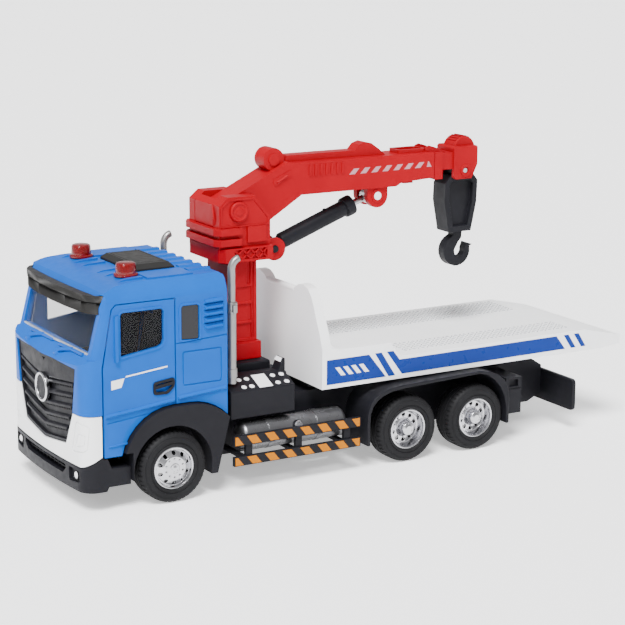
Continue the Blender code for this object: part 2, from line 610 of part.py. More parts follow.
def windscreen():
    """Raked, slightly bowed clear screen."""
    columns, rows = 8, 3
    verts = []
    for back in (0.0, SCREEN_THICK):
        for r in range(rows + 1):
            z = SCREEN_Z[0] + (SCREEN_Z[1] - SCREEN_Z[0]) * r / rows
            for c in range(columns + 1):
                u = 2.0 * c / columns - 1.0
                bow = SCREEN_CROWN * (u * u - 1.0)
                verts.append((SCREEN_HALF * u, -126.3 + PILLAR_RAKE * (z - 65.5) + bow + back, z))
    wide = columns + 1
    sheet = wide * (rows + 1)
    faces = []
    for r in range(rows):
        for c in range(columns):
            a = r * wide + c
            faces.append((a, a + 1, a + wide + 1, a + wide))
            faces.append((sheet + a, sheet + a + wide, sheet + a + wide + 1, sheet + a + 1))
    rim = list(range(columns + 1))
    rim += [r * wide + columns for r in range(1, rows + 1)]
    rim += [rows * wide + c for c in range(columns - 1, -1, -1)]
    rim += [r * wide for r in range(rows - 1, 0, -1)]
    for i, a in enumerate(rim):
        b = rim[(i + 1) % len(rim)]
        faces.append((a, b, sheet + b, sheet + a))
    make("windscreen", (verts, faces), "clear_screen", smooth=True)


def cab_inside():
    inside = make("cab_interior", block(-36.0, 36.0, -119.0, -69.0, 42.4, 43.8), "grey_plastic")
    join(inside, block(*CAB_MOUNT), prism(DASH, "X", -30.6, 30.6))
    join(inside, block(-30.6, 30.6, -128.2, -118.0, 42.4, 44.4))
    for x0, x1 in ((-30.0, -6.0), (6.0, 30.0)):
        join(inside, prism(SEAT, "X", x0, x1))


def cab_trim():
    low = BUTTON_LOW
    lid = make("roof_button", block(*low), "dark_grey_plastic", (0.0, (low[2] + low[3]) / 2, low[5]))
    x0, x1, y0, y1, z1 = BUTTON_TOP
    verts = [(low[0], low[2], 93.0), (low[1], low[2], 93.0), (low[1], low[3], 93.0),
             (low[0], low[3], 93.0), (low[0], low[2], low[5]), (low[1], low[2], low[5]),
             (low[1], low[3], low[5]), (low[0], low[3], low[5]),
             (x0, y0, z1), (x1, y0, z1), (x1, y1, z1), (x0, y1, z1)]
    faces = [(0, 1, 2, 3), (8, 9, 10, 11)]
    for k in (0, 4):
        faces += [(k + i, k + (i + 1) % 4, k + 4 + (i + 1) % 4, k + 4 + i) for i in range(4)]
    join(lid, (verts, faces))
    for side, label in ((1, "left"), (-1, "right")):
        lamp = revolve([(93.5, 0.0), (93.5, 5.0), (94.5, 5.0), (94.9, 4.3), (98.4, 4.1),
                        (98.9, 3.6), (98.9, 0.0)], "Z", (side * BEACON_X, BEACON_Y), SEG_ROUND)
        make(f"beacon_{label}", lamp, "red_clear", smooth=True)
        lift = EXHAUST_Y
        path = [(lift, 44.6), (lift, 47.4), (lift, 47.4), (lift, 51.2), (lift, 51.2), (lift, 75.8),
                (lift, 75.8), (lift, 79.4), (lift, 79.4)]
        stack_radii = [1.9, 1.9, 2.4, 2.4, 1.9, 1.9, 2.4, 2.4, 1.6]
        body = [(path[0][1], 0.0)] + [(z, r) for (_, z), r in zip(path, stack_radii)]
        bend = [(lift, 79.0), (lift, 93.5), (lift + 0.25, 95.2), (lift + 0.9, 96.8),
                (lift + 1.8, 98.0), (lift + 2.6, 98.7)]
        stack = revolve(body + [(79.4, 0.0)], "Z", (side * EXHAUST_X, lift), 20)
        pipe = make(f"exhaust_{label}", stack, "silver_plastic", smooth=True)
        join(pipe, tube(bend, [PIPE_R] * len(bend), side * EXHAUST_X))


def front_fender(side, label):
    outer = [(ARCH_Y[0] - ARCH_R, 12.0)] + arc(ARCH_Y[0], ARCH_Z, ARCH_R, 180, 90, 10)
    outer += arc(ARCH_Y[1], ARCH_Z, ARCH_R, 90, 44, 6) + [(-66.6, 33.2), (-72.4, 9.7)]
    inner = [(-75.4, 9.7)] + arc(AXLES["front"], WHEEL_Z, WHEEL_CLEAR_R, -8, 180, 18)
    inner.append((AXLES["front"] - WHEEL_CLEAR_R, 12.0))
    fender = make(f"front_fender_{label}", sided(prism(outer + inner, "X", 27.6, 41.0), side),
                  "black_plastic")
    cut(fender, sided(block(20.0, 50.0, -130.0, -110.9, 5.0, 24.0), side))


def door(side, label):
    hinge = (side * DOOR_HINGE_X, DOOR_HINGE_Y, 54.0)
    leaf = make(f"door_{label}", sided(prism(DOOR_OUTLINE, "X", CAB_HALF - WALL, CAB_HALF), side),
                "blue_body", hinge)
    join(leaf, sided(block(*MIRROR_RIB), side))
    cut(leaf, prism(arch_outline(0.5), "X", -46.0, 46.0))
    cut(leaf, sided(prism(DOOR_WINDOW, "X", 30.0, 45.0), side))


# ---- bed ----

def bed():
    pivot = (0.0, HINGE_Y, HINGE_Z)
    frame = make("bed_subframe", block(*SUBFRAME), "black_plastic", pivot)
    knuckle = prism([(HINGE_Y - 3.0, KNUCKLE_TOP)] + arc(HINGE_Y, HINGE_Z, 3.0, 180, 360, 8)
                    + [(HINGE_Y + 3.0, KNUCKLE_TOP)], "X", -9.9, 9.9)
    join(frame, knuckle)
    cut(frame, both(block(-12.8, -10.1, HINGE_Y - 6.0, HINGE_Y + 6.0, 28.0, 45.0),
                    block(10.1, 12.8, HINGE_Y - 6.0, HINGE_Y + 6.0, 28.0, 45.0)))
    pin = rod("X", (HINGE_Y, HINGE_Z), HINGE_PIN_R, -13.4, 13.4)
    join(frame, pin)
    deck = make("flatbed", prism(BED_PROFILE, "X", -BED_HALF, BED_HALF), "white_plastic", pivot)
    join(deck, prism(RAIL_PROFILE, "X", RAIL_IN, BED_HALF),
         prism(RAIL_PROFILE, "X", -BED_HALF, -RAIL_IN), prism(mirrored(HEADBOARD), "Y", *HEADBOARD_Y),
         prism(GUSSET, "X", RAIL_IN, GUSSET_OUT), prism(GUSSET, "X", -GUSSET_OUT, -RAIL_IN))
    pockets = []
    for row in range(POCKET_ROWS):
        y0 = POCKET_Y0 + row * POCKET_STEP
        pockets += [block(x0, x1, y0, y0 + POCKET_LEN, 30.0, POCKET_TOP) for x0, x1 in POCKET_X]
    cut(deck, both(*pockets))


# ---- crane ----

def crane_stand():
    pedestal = make("crane_pedestal", block(*PEDESTAL_FOOT), "black_plastic")
    join(pedestal, block(*PEDESTAL))
    column = make("crane_column", block(*COLUMN_BASE), "red_plastic")
    join(column, block(*COLUMN), rod("Z", (0.0, SLEW_Y), SPIGOT_R, *SPIGOT_Z, SEG_FINE))


def ear_outline(y, z, radius, root):
    """A rounded ear about (y, z) that runs back to the line y = root."""
    return [(root, z - 1.4)] + arc(y, z, radius, -164, 80, 16) + [(root, z + radius - 0.9)]


def turret():
    slew = (0.0, SLEW_Y, TURRET_PLATE_Z[0])
    house = make("turret", prism(TURRET_PROFILE, "X", -TURRET_HALF, TURRET_HALF), "red_plastic",
                 slew)
    join(house, prism(TURRET_PLATE, "Z", *TURRET_PLATE_Z))
    for z0, z1 in BAND_Z:
        join(house, prism(BAND_PLAN, "Z", z0, z1))
    for side in (1, -1):
        join(house, sided(prism(ear_outline(BASE_Y, BASE_Z, EAR_R, -35.0), "X", *EAR_X), side))
        join(house, sided(block(*SIDE_PAD), side))
    cut(house, prism(SLOT_PROFILE, "X", -SLOT_HALF, SLOT_HALF))
    cut(house, rod("Z", (0.0, SLEW_Y), SPIGOT_HOLE_R, 80.0, SPIGOT_Z[1] + 0.6, SEG_FINE))
    cut(house, rod("X", (LIFT_Y, LIFT_Z), LIFT_HOLE_R, -25.0, 25.0))
    cut(house, rod("X", (BASE_Y, BASE_Z), BASE_HOLE_R, -25.0, 25.0))
    ends = [(-15.3, 0.0), (-15.3, LIFT_HEAD_R), (-14.2, LIFT_HEAD_R), (-14.2, LIFT_PIN_R),
            (14.2, LIFT_PIN_R), (14.2, LIFT_HEAD_R), (15.3, LIFT_HEAD_R), (15.3, 0.0)]
    make("boom_pin", revolve(ends, "X", (LIFT_Y, LIFT_Z), SEG_ROUND), "red_plastic", slew, True)
    make("cylinder_base_pin", rod("X", (BASE_Y, BASE_Z), BASE_PIN_R, -5.9, 5.9), "black_plastic",
         slew, True)


def boom():
    lift = (0.0, LIFT_Y, LIFT_Z)
    arm = make("boom_outer", prism(BOOM_PROFILE, "X", -BOOM_HALF, BOOM_HALF), "red_plastic", lift)
    join(arm, prism(RAIL_HUMPS, "X", -3.4, 3.4))
    join(arm, rod("X", KNUCKLE_HUMP_AT, KNUCKLE_HUMP_R, -4.2, 4.2))
    lug = [(ROD_Y - LUG_R, 118.0)] + arc(ROD_Y, ROD_Z, LUG_R, 180, 360, 12)
    lug.append((ROD_Y + LUG_R, 118.0))
    for side in (1, -1):
        join(arm, sided(prism(lug, "X", *LUG_X), side))
    cut(arm, block(*TUBE_BORE))
    cut(arm, rod("X", (LIFT_Y, LIFT_Z), LIFT_HOLE_R, -25.0, 25.0))
    cut(arm, rod("X", (ROD_Y, ROD_Z), ROD_HOLE_R, -25.0, 25.0))
    cut(arm, rod("X", (ROD_Y, ROD_Z), ROD_ROOM_R, -LUG_X[0] + 0.1, LUG_X[0] - 0.1))
    make("cylinder_rod_pin", rod("X", (ROD_Y, ROD_Z), ROD_PIN_R, -6.4, 6.4), "white_plastic", lift,
         True)
    inner = make("boom_inner", block(*TUBE), "red_plastic", (0.0, SWING_Y, SWING_Z))
    join(inner, block(*COLLAR), block(*NECK))
    join(inner, prism(HEAD_PROFILE, "X", -BOOM_HALF, BOOM_HALF))
    join(inner, rod("X", PULLEY_AT, PULLEY_R, -4.0, 4.0))
    cut(inner, block(*HEAD_SLOT), rod("X", (SWING_Y, SWING_Z), SWING_HOLE_R, -20.0, 20.0))
    make("hook_pin", rod("X", (SWING_Y, SWING_Z), SWING_PIN_R, -6.8, 6.8), "steel",
         (0.0, SWING_Y, SWING_Z), True)


def hook_parts():
    swing = (0.0, SWING_Y, SWING_Z)
    body = make("hook_block", prism(BLOCK_PROFILE, "X", -BLOCK_HALF, BLOCK_HALF), "black_plastic",
                swing)
    eye = [(SWING_Y - EYE_R, 117.0), (SWING_Y + EYE_R, 117.0)]
    eye += arc(SWING_Y, SWING_Z, EYE_R, 0, 180, 10)
    join(body, prism(eye, "X", -EYE_HALF, EYE_HALF))
    for side in (1, -1):
        cut(body, sided(prism(BLOCK_FRAME, "X", BLOCK_RECESS, 9.0), side))
    cut(body, rod("X", (SWING_Y, SWING_Z), SWING_HOLE_R, -20.0, 20.0))
    cut(body, rod("Z", (0.0, HOOK_Y), HOOK_STEM_HOLE_R, 80.0, 99.4))
    oy, oz, outer_r = HOOK_OUTER
    iy, iz, inner_r = HOOK_INNER
    line = [(75.4, 92.4), (70.6, 92.4), (70.8, 90.9)]
    line += arc(oy, oz, outer_r, 112, 372, 16)
    line += [(81.3, 85.9), (78.4, 87.0)]
    line += arc(iy, iz, inner_r, 14, -200, 14)
    line += [(73.4, 87.6), (75.2, 89.6)]
    hook = make("hook", prism(line, "X", -HOOK_HALF, HOOK_HALF), "black_plastic",
                (0.0, HOOK_Y, 92.4))
    join(hook, rod("Z", (0.0, HOOK_Y), HOOK_STEM_R, 91.0, 98.8))


def cylinder():
    start, end = (BASE_Y, BASE_Z), (ROD_Y, ROD_Z)
    reach = math.hypot(end[0] - start[0], end[1] - start[1])
    near, far = BARREL_SPAN
    skin = [(near, 0.0), (near, BARREL_R - 0.6), (near + 0.8, BARREL_R),
            (BARREL_COLLAR[0], BARREL_R), (BARREL_COLLAR[0], BARREL_COLLAR_R),
            (far, BARREL_COLLAR_R), (far, BARREL_BORE_R), (ROD_START - 2.0, BARREL_BORE_R),
            (ROD_START - 2.0, 0.0)]
    barrel = make("cylinder_barrel", along_line(skin, 0.0, start, end, SEG_ROUND), "black_plastic",
                  (0.0, *start), True)
    join(barrel, along_line([(0.0, 0.0), (0.0, 2.4), (near + 1.0, 2.4), (near + 1.0, 0.0)], 0.0,
                            start, end, 16))
    join(barrel, rod("X", start, 3.4, -2.7, 2.7))
    cut(barrel, rod("X", start, BASE_HOLE_R, -20.0, 20.0))
    stem = [(ROD_START, 0.0), (ROD_START, ROD_R), (reach - ROD_EYE_R + 0.7, ROD_R),
            (reach - ROD_EYE_R + 0.7, 0.0)]
    piston = make("cylinder_rod", along_line(stem, 0.0, start, end, 20), "steel", (0.0, *start),
                  True)
    join(piston, rod("X", end, ROD_EYE_R, -ROD_EYE_HALF, ROD_EYE_HALF))
    cut(piston, rod("X", end, ROD_EYE_HOLE_R, -20.0, 20.0))


clear_scene()
for wheel_place in AXLES:
    wheelset(wheel_place, RIM_FRONT_PROFILE if wheel_place == "front" else RIM_REAR_PROFILE)
chassis()
for where, word in ((1, "left"), (-1, "right")):
    side_gear(where, word)
    front_fender(where, word)
    door(where, word)
cab_shell()
cab_front()
windscreen()
cab_inside()
cab_trim()
bed()
crane_stand()
turret()
boom()
hook_parts()
cylinder()
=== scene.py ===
"""Looks of the toy tow truck: finished surfaces, printed stripes and small moulded detail.

Lengths are millimetres (forward is -Y, the truck's left is +X, the ground is Z = 0) and MM turns
them into metres. Y values are counted from a point that lies at Y = DATUM_Y in the frame. Places
come from the frame's node boxes where a detail belongs to one node.
"""
import math

import bmesh
import bpy
from mathutils import Matrix, Vector


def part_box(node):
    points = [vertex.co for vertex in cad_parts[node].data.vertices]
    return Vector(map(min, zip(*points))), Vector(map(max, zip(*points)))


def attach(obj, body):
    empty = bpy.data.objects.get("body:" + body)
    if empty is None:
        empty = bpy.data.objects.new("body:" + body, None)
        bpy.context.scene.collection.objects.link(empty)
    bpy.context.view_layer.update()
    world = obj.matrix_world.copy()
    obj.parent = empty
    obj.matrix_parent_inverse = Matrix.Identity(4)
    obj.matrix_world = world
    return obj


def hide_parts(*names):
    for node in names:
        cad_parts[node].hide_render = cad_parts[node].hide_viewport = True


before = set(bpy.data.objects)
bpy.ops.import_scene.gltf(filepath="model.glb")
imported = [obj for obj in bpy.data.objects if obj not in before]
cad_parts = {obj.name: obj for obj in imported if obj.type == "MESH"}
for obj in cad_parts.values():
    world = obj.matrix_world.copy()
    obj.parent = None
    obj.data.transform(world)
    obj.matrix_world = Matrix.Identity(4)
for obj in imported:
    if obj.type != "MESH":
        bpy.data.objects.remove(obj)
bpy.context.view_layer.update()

MM = 0.001
DATUM_Y = -4.85
FINE = 96
ROUND = 32
SIDES = ((1, "left"), (-1, "right"))
PRINT = 0.12          # thickness of a printed patch
PRINT_SUNK = 0.05     # how far a patch reaches below the surface
COPLANAR = math.radians(0.6)
BEVEL_FROM = math.radians(28)


class Span:
    """A node's box at rest, in millimetres."""

    def __init__(self, node):
        low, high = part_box(node)
        self.x0, self.y0, self.z0 = low[0] / MM, low[1] / MM - DATUM_Y, low[2] / MM
        self.x1, self.y1, self.z1 = high[0] / MM, high[1] / MM - DATUM_Y, high[2] / MM
        self.x, self.y, self.z = ((a + b) / 2 for a, b in
                                  ((self.x0, self.x1), (self.y0, self.y1), (self.z0, self.z1)))


# ---- outlines, and shapes as (vertices in mm, faces) of closed skins ----

def through(rows, closed=False):
    """The skin through rings of points, with flat ends unless it runs back to its start."""
    n = len(rows[0])
    faces = [] if closed else [tuple(range(n)), tuple(range((len(rows) - 1) * n, len(rows) * n))]
    for k in range(len(rows) if closed else len(rows) - 1):
        a, b = k * n, (k + 1) % len(rows) * n
        faces += [(a + i, a + (i + 1) % n, b + (i + 1) % n, b + i) for i in range(n)]
    return [point for row in rows for point in row], faces


def prism(outline, axis, low, high):
    """A 2-D outline carried along X, Y or Z."""
    place = {"X": lambda p, t: (t, p[0], p[1]),
             "Y": lambda p, t: (p[0], t, p[1]),
             "Z": lambda p, t: (p[0], p[1], t)}[axis]
    return through([[place(p, t) for p in outline] for t in (low, high)])


def block(x0, x1, y0, y1, z0, z1):
    return prism([(x0, y0), (x1, y0), (x1, y1), (x0, y1)], "Z", z0, z1)


def ring_prism(outer, inner, axis, low, high):
    """The wall between two outlines with the same number of points."""
    a, _ = prism(outer, axis, low, high)
    b, _ = prism(inner, axis, low, high)
    n = len(outer)
    faces = []
    for i in range(n):
        j = (i + 1) % n
        faces += [(i, j, n + j, n + i), (2 * n + i, 3 * n + i, 3 * n + j, 2 * n + j),
                  (i, 2 * n + i, 2 * n + j, j), (n + i, n + j, 3 * n + j, 3 * n + i)]
    return a + b, faces


def revolve(profile, axis, centre, segments):
    """A profile of (along, radius) turned about an axis through centre."""
    place = {"X": lambda a, u, v: (a, centre[0] + u, centre[1] + v),
             "Y": lambda a, u, v: (centre[0] + u, a, centre[1] + v),
             "Z": lambda a, u, v: (centre[0] + u, centre[1] + v, a)}[axis]
    verts = []
    rings = []
    for along, radius in profile:
        if radius == 0.0:
            rings.append([len(verts)])
            verts.append(place(along, 0.0, 0.0))
            continue
        rings.append(list(range(len(verts), len(verts) + segments)))
        for i in range(segments):
            turn = 2 * math.pi * i / segments
            verts.append(place(along, radius * math.cos(turn), radius * math.sin(turn)))
    closed = len(rings[0]) > 1
    faces = []
    for k in range(len(rings) if closed else len(rings) - 1):
        a, b = rings[k], rings[(k + 1) % len(rings)]
        if len(a) == 1 and len(b) == 1:
            continue
        for i in range(segments):
            j = (i + 1) % segments
            if len(a) == 1:
                faces.append((a[0], b[i], b[j]))
            elif len(b) == 1:
                faces.append((a[i], a[j], b[0]))
            else:
                faces.append((a[i], a[j], b[j], b[i]))
    return verts, faces


def rod(axis, centre, radius, low, high):
    return revolve([(low, 0.0), (low, radius), (high, radius), (high, 0.0)], axis, centre, ROUND)


def along_line(profile, start, end, segments=ROUND):
    """A profile of (distance, radius) turned about the line start-end."""
    start, end = Vector(start), Vector(end)
    turn = Vector((1, 0, 0)).rotation_difference(end - start)
    verts, faces = revolve(profile, "X", (0.0, 0.0), segments)
    return [tuple(start + turn @ Vector(v)) for v in verts], faces


def tube(path, radius, segments=20):
    """A round tube with flat ends along a path of points."""
    points = [Vector(p) for p in path]
    rows = []
    lean = Vector((1, 0, 0)) if abs((points[1] - points[0]).normalized().x) < 0.9 else Vector((0, 0, 1))
    for k, point in enumerate(points):
        ahead = points[min(k + 1, len(points) - 1)] - points[max(k - 1, 0)]
        ahead.normalize()
        u = ahead.cross(lean).normalized()
        v = ahead.cross(u)
        rows.append([tuple(point + radius * (math.cos(turn) * u + math.sin(turn) * v))
                     for turn in (2 * math.pi * i / segments for i in range(segments))])
    return through(rows)


def both(*shapes):
    """Several separate closed skins in one mesh."""
    verts, faces = [], []
    for more, sides in shapes:
        base = len(verts)
        verts += more
        faces += [tuple(base + i for i in side) for side in sides]
    return verts, faces


def sided(shape, side):
    """The shape itself for side 1, its mirror image across X = 0 for side -1."""
    return shape if side > 0 else ([(-x, y, z) for x, y, z in shape[0]], shape[1])


def on_both(shape):
    return both(shape, sided(shape, -1))


def printed(outline, x):
    """A thin printed patch that lies on a side face at x."""
    return prism(outline, "X", x - PRINT_SUNK, x + PRINT)


def arc(cy, cz, radius, start, end, steps):
    """Points on a circle from one angle to another, in degrees."""
    return [(cy + radius * math.cos(math.radians(start + (end - start) * i / steps)),
             cz + radius * math.sin(math.radians(start + (end - start) * i / steps)))
            for i in range(steps + 1)]


def grown(outline, by):
    """An outline moved outward by about the given distance."""
    n = len(outline)
    area = sum(outline[i - 1][0] * outline[i][1] - outline[i][0] * outline[i - 1][1] for i in range(n))
    sign = 1.0 if area > 0 else -1.0
    out = []
    for i in range(n):
        before, here, after = Vector(outline[i - 1]), Vector(outline[i]), Vector(outline[(i + 1) % n])
        a, b = (here - before).normalized(), (after - here).normalized()
        n1, n2 = Vector((a.y, -a.x)) * sign, Vector((b.y, -b.x)) * sign
        out.append(tuple(here + (n1 + n2) * by / (1.0 + n1.dot(n2))))
    return out


def rounded(outline, radius, steps=4):
    """An outline with each corner replaced by a short curve."""
    n = len(outline)
    out = []
    for i in range(n):
        before, here, after = Vector(outline[i - 1]), Vector(outline[i]), Vector(outline[(i + 1) % n])
        reach = min(radius, (before - here).length * 0.45, (after - here).length * 0.45)
        start = here + (before - here).normalized() * reach
        end = here + (after - here).normalized() * reach
        for k in range(steps + 1):
            t = k / steps
            out.append(tuple(start * (1 - t) ** 2 + here * 2 * t * (1 - t) + end * t * t))
    return out


def rectangle(a0, a1, b0, b1):
    return [(a0, b0), (a1, b0), (a1, b1), (a0, b1)]


def clipped(outline, low, high):
    """The part of a convex outline whose first coordinate lies between low and high."""
    for limit, keep_above in ((low, True), (high, False)):
        out = []
        for i, (a, b) in enumerate(outline):
            pa, pb = outline[i - 1]
            inside = a >= limit if keep_above else a <= limit
            was = pa >= limit if keep_above else pa <= limit
            if inside != was:
                t = (limit - pa) / (a - pa)
                out.append((limit, pb + (b - pb) * t))
            if inside:
                out.append((a, b))
        outline = out
    return outline


# ---- meshes and pieces ----

def mesh_of(shape, label="shape"):
    verts, faces = shape
    mesh = bpy.data.meshes.new(label)
    mesh.from_pydata([(x * MM, (y + DATUM_Y) * MM, z * MM) for x, y, z in verts], [], faces)
    work = bmesh.new()
    work.from_mesh(mesh)
    bmesh.ops.recalc_face_normals(work, faces=work.faces)
    work.to_mesh(mesh)
    work.free()
    return mesh


def cad(node):
    """A copy of a node's mesh with its flat faces made whole again."""
    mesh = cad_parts[node].data.copy()
    mesh.materials.clear()
    work = bmesh.new()
    work.from_mesh(mesh)
    bmesh.ops.remove_doubles(work, verts=work.verts, dist=0.002 * MM)
    bmesh.ops.dissolve_limit(work, angle_limit=COPLANAR, verts=work.verts, edges=work.edges)
    work.to_mesh(mesh)
    work.free()
    if mesh.has_custom_normals:
        mesh.attributes.remove(mesh.attributes["custom_normal"])
    return mesh


def combined(mesh, how, shapes):
    """The mesh after a Boolean with each shape in turn."""
    carrier = bpy.data.objects.new("carrier", mesh)
    bpy.context.scene.collection.objects.link(carrier)
    tools = []
    for shape in shapes:
        tool_mesh = shape if isinstance(shape, bpy.types.Mesh) else mesh_of(shape)
        tool = bpy.data.objects.new("tool", tool_mesh)
        bpy.context.scene.collection.objects.link(tool)
        tools.append(tool)
        step = carrier.modifiers.new("step", "BOOLEAN")
        step.operation = how
        step.solver = "EXACT"
        step.object = tool
    graph = bpy.context.evaluated_depsgraph_get()
    result = bpy.data.meshes.new_from_object(carrier.evaluated_get(graph))
    for thing in [carrier, *tools]:
        bpy.data.objects.remove(thing, do_unlink=True)
    return result


def joined(mesh, *shapes):
    return combined(mesh, "UNION", shapes)


def cut(mesh, *shapes):
    return combined(mesh, "DIFFERENCE", shapes)


def kept(mesh, *shapes):
    return combined(mesh, "INTERSECT", shapes)


def piece(name, shape, slot, body, replaces=(), bevel=0.25, segments=2, finish=None):
    """One visible piece: rounded edges, even shading, its material (its finish, else its slot's) and its
    body.
    """
    mesh = shape if isinstance(shape, bpy.types.Mesh) else mesh_of(shape, name)
    mesh.name = name
    mesh.materials.clear()
    mesh.materials.append(MATERIALS[finish or slot])
    mesh.polygons.foreach_set("material_index", [0] * len(mesh.polygons))
    mesh.polygons.foreach_set("use_smooth", [True] * len(mesh.polygons))
    thing = bpy.data.objects.new(name, mesh)
    bpy.context.scene.collection.objects.link(thing)
    if bevel:
        edge = thing.modifiers.new("edge", "BEVEL")
        edge.width = bevel * MM
        edge.segments = segments
        edge.limit_method = "ANGLE"
        edge.angle_limit = BEVEL_FROM
        edge.miter_outer = "MITER_ARC"
        shade = thing.modifiers.new("shade", "WEIGHTED_NORMAL")
        shade.weight = 60
        shade.keep_sharp = True
    else:
        mesh.set_sharp_from_angle(angle=math.radians(35))
    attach(thing, body)
    if replaces:
        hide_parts(*replaces)
    return thing


def whole(node, slot, body, bevel, shape=None, segments=2, finish=None, ending="moulded"):
    """The piece that stands for a whole node; its shape is the node's own if none is given."""
    return piece(f"{node}_{ending}", cad(node) if shape is None else shape, slot, body, (node,), bevel,
                 segments, finish)


# ---- materials ----

DRIFT_SIZE = 14.0     # size in mm of the patches in which the colour drifts
WEAR_SIZE = 3.0       # and of those in which the roughness does


def finish(name, colour, roughness, vary, rough_vary, grain, grain_size, specular, values):
    """A Principled surface whose colour and roughness drift a little and whose skin has a fine grain."""
    made = bpy.data.materials.new("look_" + name)
    made.use_nodes = True
    tree = made.node_tree
    shader = tree.nodes["Principled BSDF"]
    shader.inputs["Specular IOR Level"].default_value = specular
    for socket, value in values.items():
        shader.inputs[socket].default_value = value
    place = tree.nodes.new("ShaderNodeTexCoord")

    def noise(size_mm, detail):
        node = tree.nodes.new("ShaderNodeTexNoise")
        node.inputs["Scale"].default_value = 1.0 / (size_mm * MM)
        node.inputs["Detail"].default_value = detail
        tree.links.new(place.outputs["Object"], node.inputs["Vector"])
        return node

    drift = noise(DRIFT_SIZE, 3.0)
    ramp = tree.nodes.new("ShaderNodeValToRGB")
    for stop, position, share in zip(ramp.color_ramp.elements, (0.3, 0.7), (1 - vary, 1 + vary)):
        stop.position = position
        stop.color = (*[min(1.0, c * share) for c in colour], 1.0)
    tree.links.new(drift.outputs["Fac"], ramp.inputs["Fac"])
    tree.links.new(ramp.outputs["Color"], shader.inputs["Base Color"])
    wear = noise(WEAR_SIZE, 4.0)
    spread = tree.nodes.new("ShaderNodeMapRange")
    spread.inputs["From Min"].default_value = 0.3
    spread.inputs["From Max"].default_value = 0.7
    spread.inputs["To Min"].default_value = max(0.0, roughness - rough_vary)
    spread.inputs["To Max"].default_value = roughness + rough_vary
    tree.links.new(wear.outputs["Fac"], spread.inputs["Value"])
    tree.links.new(spread.outputs["Result"], shader.inputs["Roughness"])
    if grain:
        skin = noise(grain_size, 2.0)
        bump = tree.nodes.new("ShaderNodeBump")
        bump.inputs["Strength"].default_value = 0.6
        bump.inputs["Distance"].default_value = grain * MM
        tree.links.new(skin.outputs["Fac"], bump.inputs["Height"])
        tree.links.new(bump.outputs["Normal"], shader.inputs["Normal"])
    made.diffuse_color = (*colour, 1.0)
    return made


# name: colour, roughness, drift of the colour, drift of the roughness, depth of the grain in mm,
# width of a grain in mm, specular level, other values of the shader
LOOKS = {
    "blue_body": ((0.0003, 0.078, 0.38), 0.34, 0.05, 0.04, 0.02, 1.4, 0.08, {}),
    "red_plastic": ((0.28, 0.0004, 0.006), 0.36, 0.05, 0.05, 0.015, 0.9, 0.06, {}),
    "black_plastic": ((0.0085, 0.0085, 0.011), 0.46, 0.12, 0.07, 0.02, 0.35, 0.11, {}),
    "dark_grey_plastic": ((0.018, 0.0176, 0.017), 0.42, 0.08, 0.06, 0.02, 0.35, 0.12, {}),
    "white_plastic": ((0.87, 0.875, 0.885), 0.35, 0.015, 0.05, 0.012, 0.8, 0.35, {}),
    # painted shade: grey for the white tread bars, standing in for the shade inside their dense relief
    "tread_painted_shade": ((0.44, 0.45, 0.47), 0.45, 0.02, 0.05, 0.006, 0.4, 0.3, {}),
    "grey_plastic": ((0.05, 0.05, 0.056), 0.55, 0.08, 0.06, 0.03, 0.5, 0.15, {}),
    "orange_stripe": ((0.42, 0.135, 0.0005), 0.42, 0.05, 0.05, 0.006, 0.3, 0.08, {}),
    "chrome_plating": ((0.52, 0.52, 0.54), 0.18, 0.02, 0.04, 0.004, 0.5, 0.5, {"Metallic": 1.0}),
    "tank_silver": ((0.14, 0.14, 0.147), 0.30, 0.04, 0.05, 0.006, 0.5, 0.5, {"Metallic": 0.85}),
    "silver_plastic": ((0.24, 0.235, 0.23), 0.34, 0.05, 0.05, 0.008, 0.3, 0.5, {"Metallic": 0.75}),
    "steel": ((0.42, 0.42, 0.43), 0.26, 0.04, 0.06, 0.005, 0.3, 0.5, {"Metallic": 1.0}),
    "tyre_rubber": ((0.0095, 0.0095, 0.0105), 0.62, 0.15, 0.08, 0.03, 0.3, 0.11, {}),
    "clear_screen": ((0.10, 0.11, 0.12), 0.10, 0.02, 0.03, 0.0, 1.0, 0.2, {"Alpha": 0.10}),
    "clear_dark": ((0.01, 0.01, 0.012), 0.10, 0.02, 0.03, 0.0, 1.0, 0.3, {"Alpha": 0.22}),
    # lighter, less clear grey for the screen's lower flange: partly its textured clear edge, partly painted
    # highlight
    "clear_edge_painted_sheen": ((0.40, 0.42, 0.45), 0.25, 0.04, 0.05, 0.01, 0.8, 0.5, {"Alpha": 0.7}),
    "red_clear": ((0.22, 0.001, 0.002), 0.12, 0.05, 0.03, 0.0, 1.0, 0.5,
                  {"Transmission Weight": 0.4, "Alpha": 0.85}),
    "circuit_green": ((0.01, 0.10, 0.03), 0.38, 0.12, 0.08, 0.01, 0.6, 0.5, {}),
    "print_blue": ((0.004, 0.026, 0.19), 0.30, 0.04, 0.04, 0.006, 0.5, 0.1, {}),
    "print_white": ((0.80, 0.80, 0.82), 0.38, 0.03, 0.05, 0.006, 0.4, 0.3, {}),
    "print_pink": ((0.42, 0.19, 0.22), 0.40, 0.04, 0.05, 0.006, 0.4, 0.3, {}),
    "dark_glass": ((0.008, 0.008, 0.010), 0.16, 0.05, 0.04, 0.0, 1.0, 0.3, {}),
    "seat_black": ((0.006, 0.006, 0.008), 0.60, 0.12, 0.08, 0.04, 0.5, 0.08, {}),
}
MATERIALS = {name: finish(name, *row) for name, row in LOOKS.items()}


# ---- wheels ----

TREAD_BLOCKS = 44
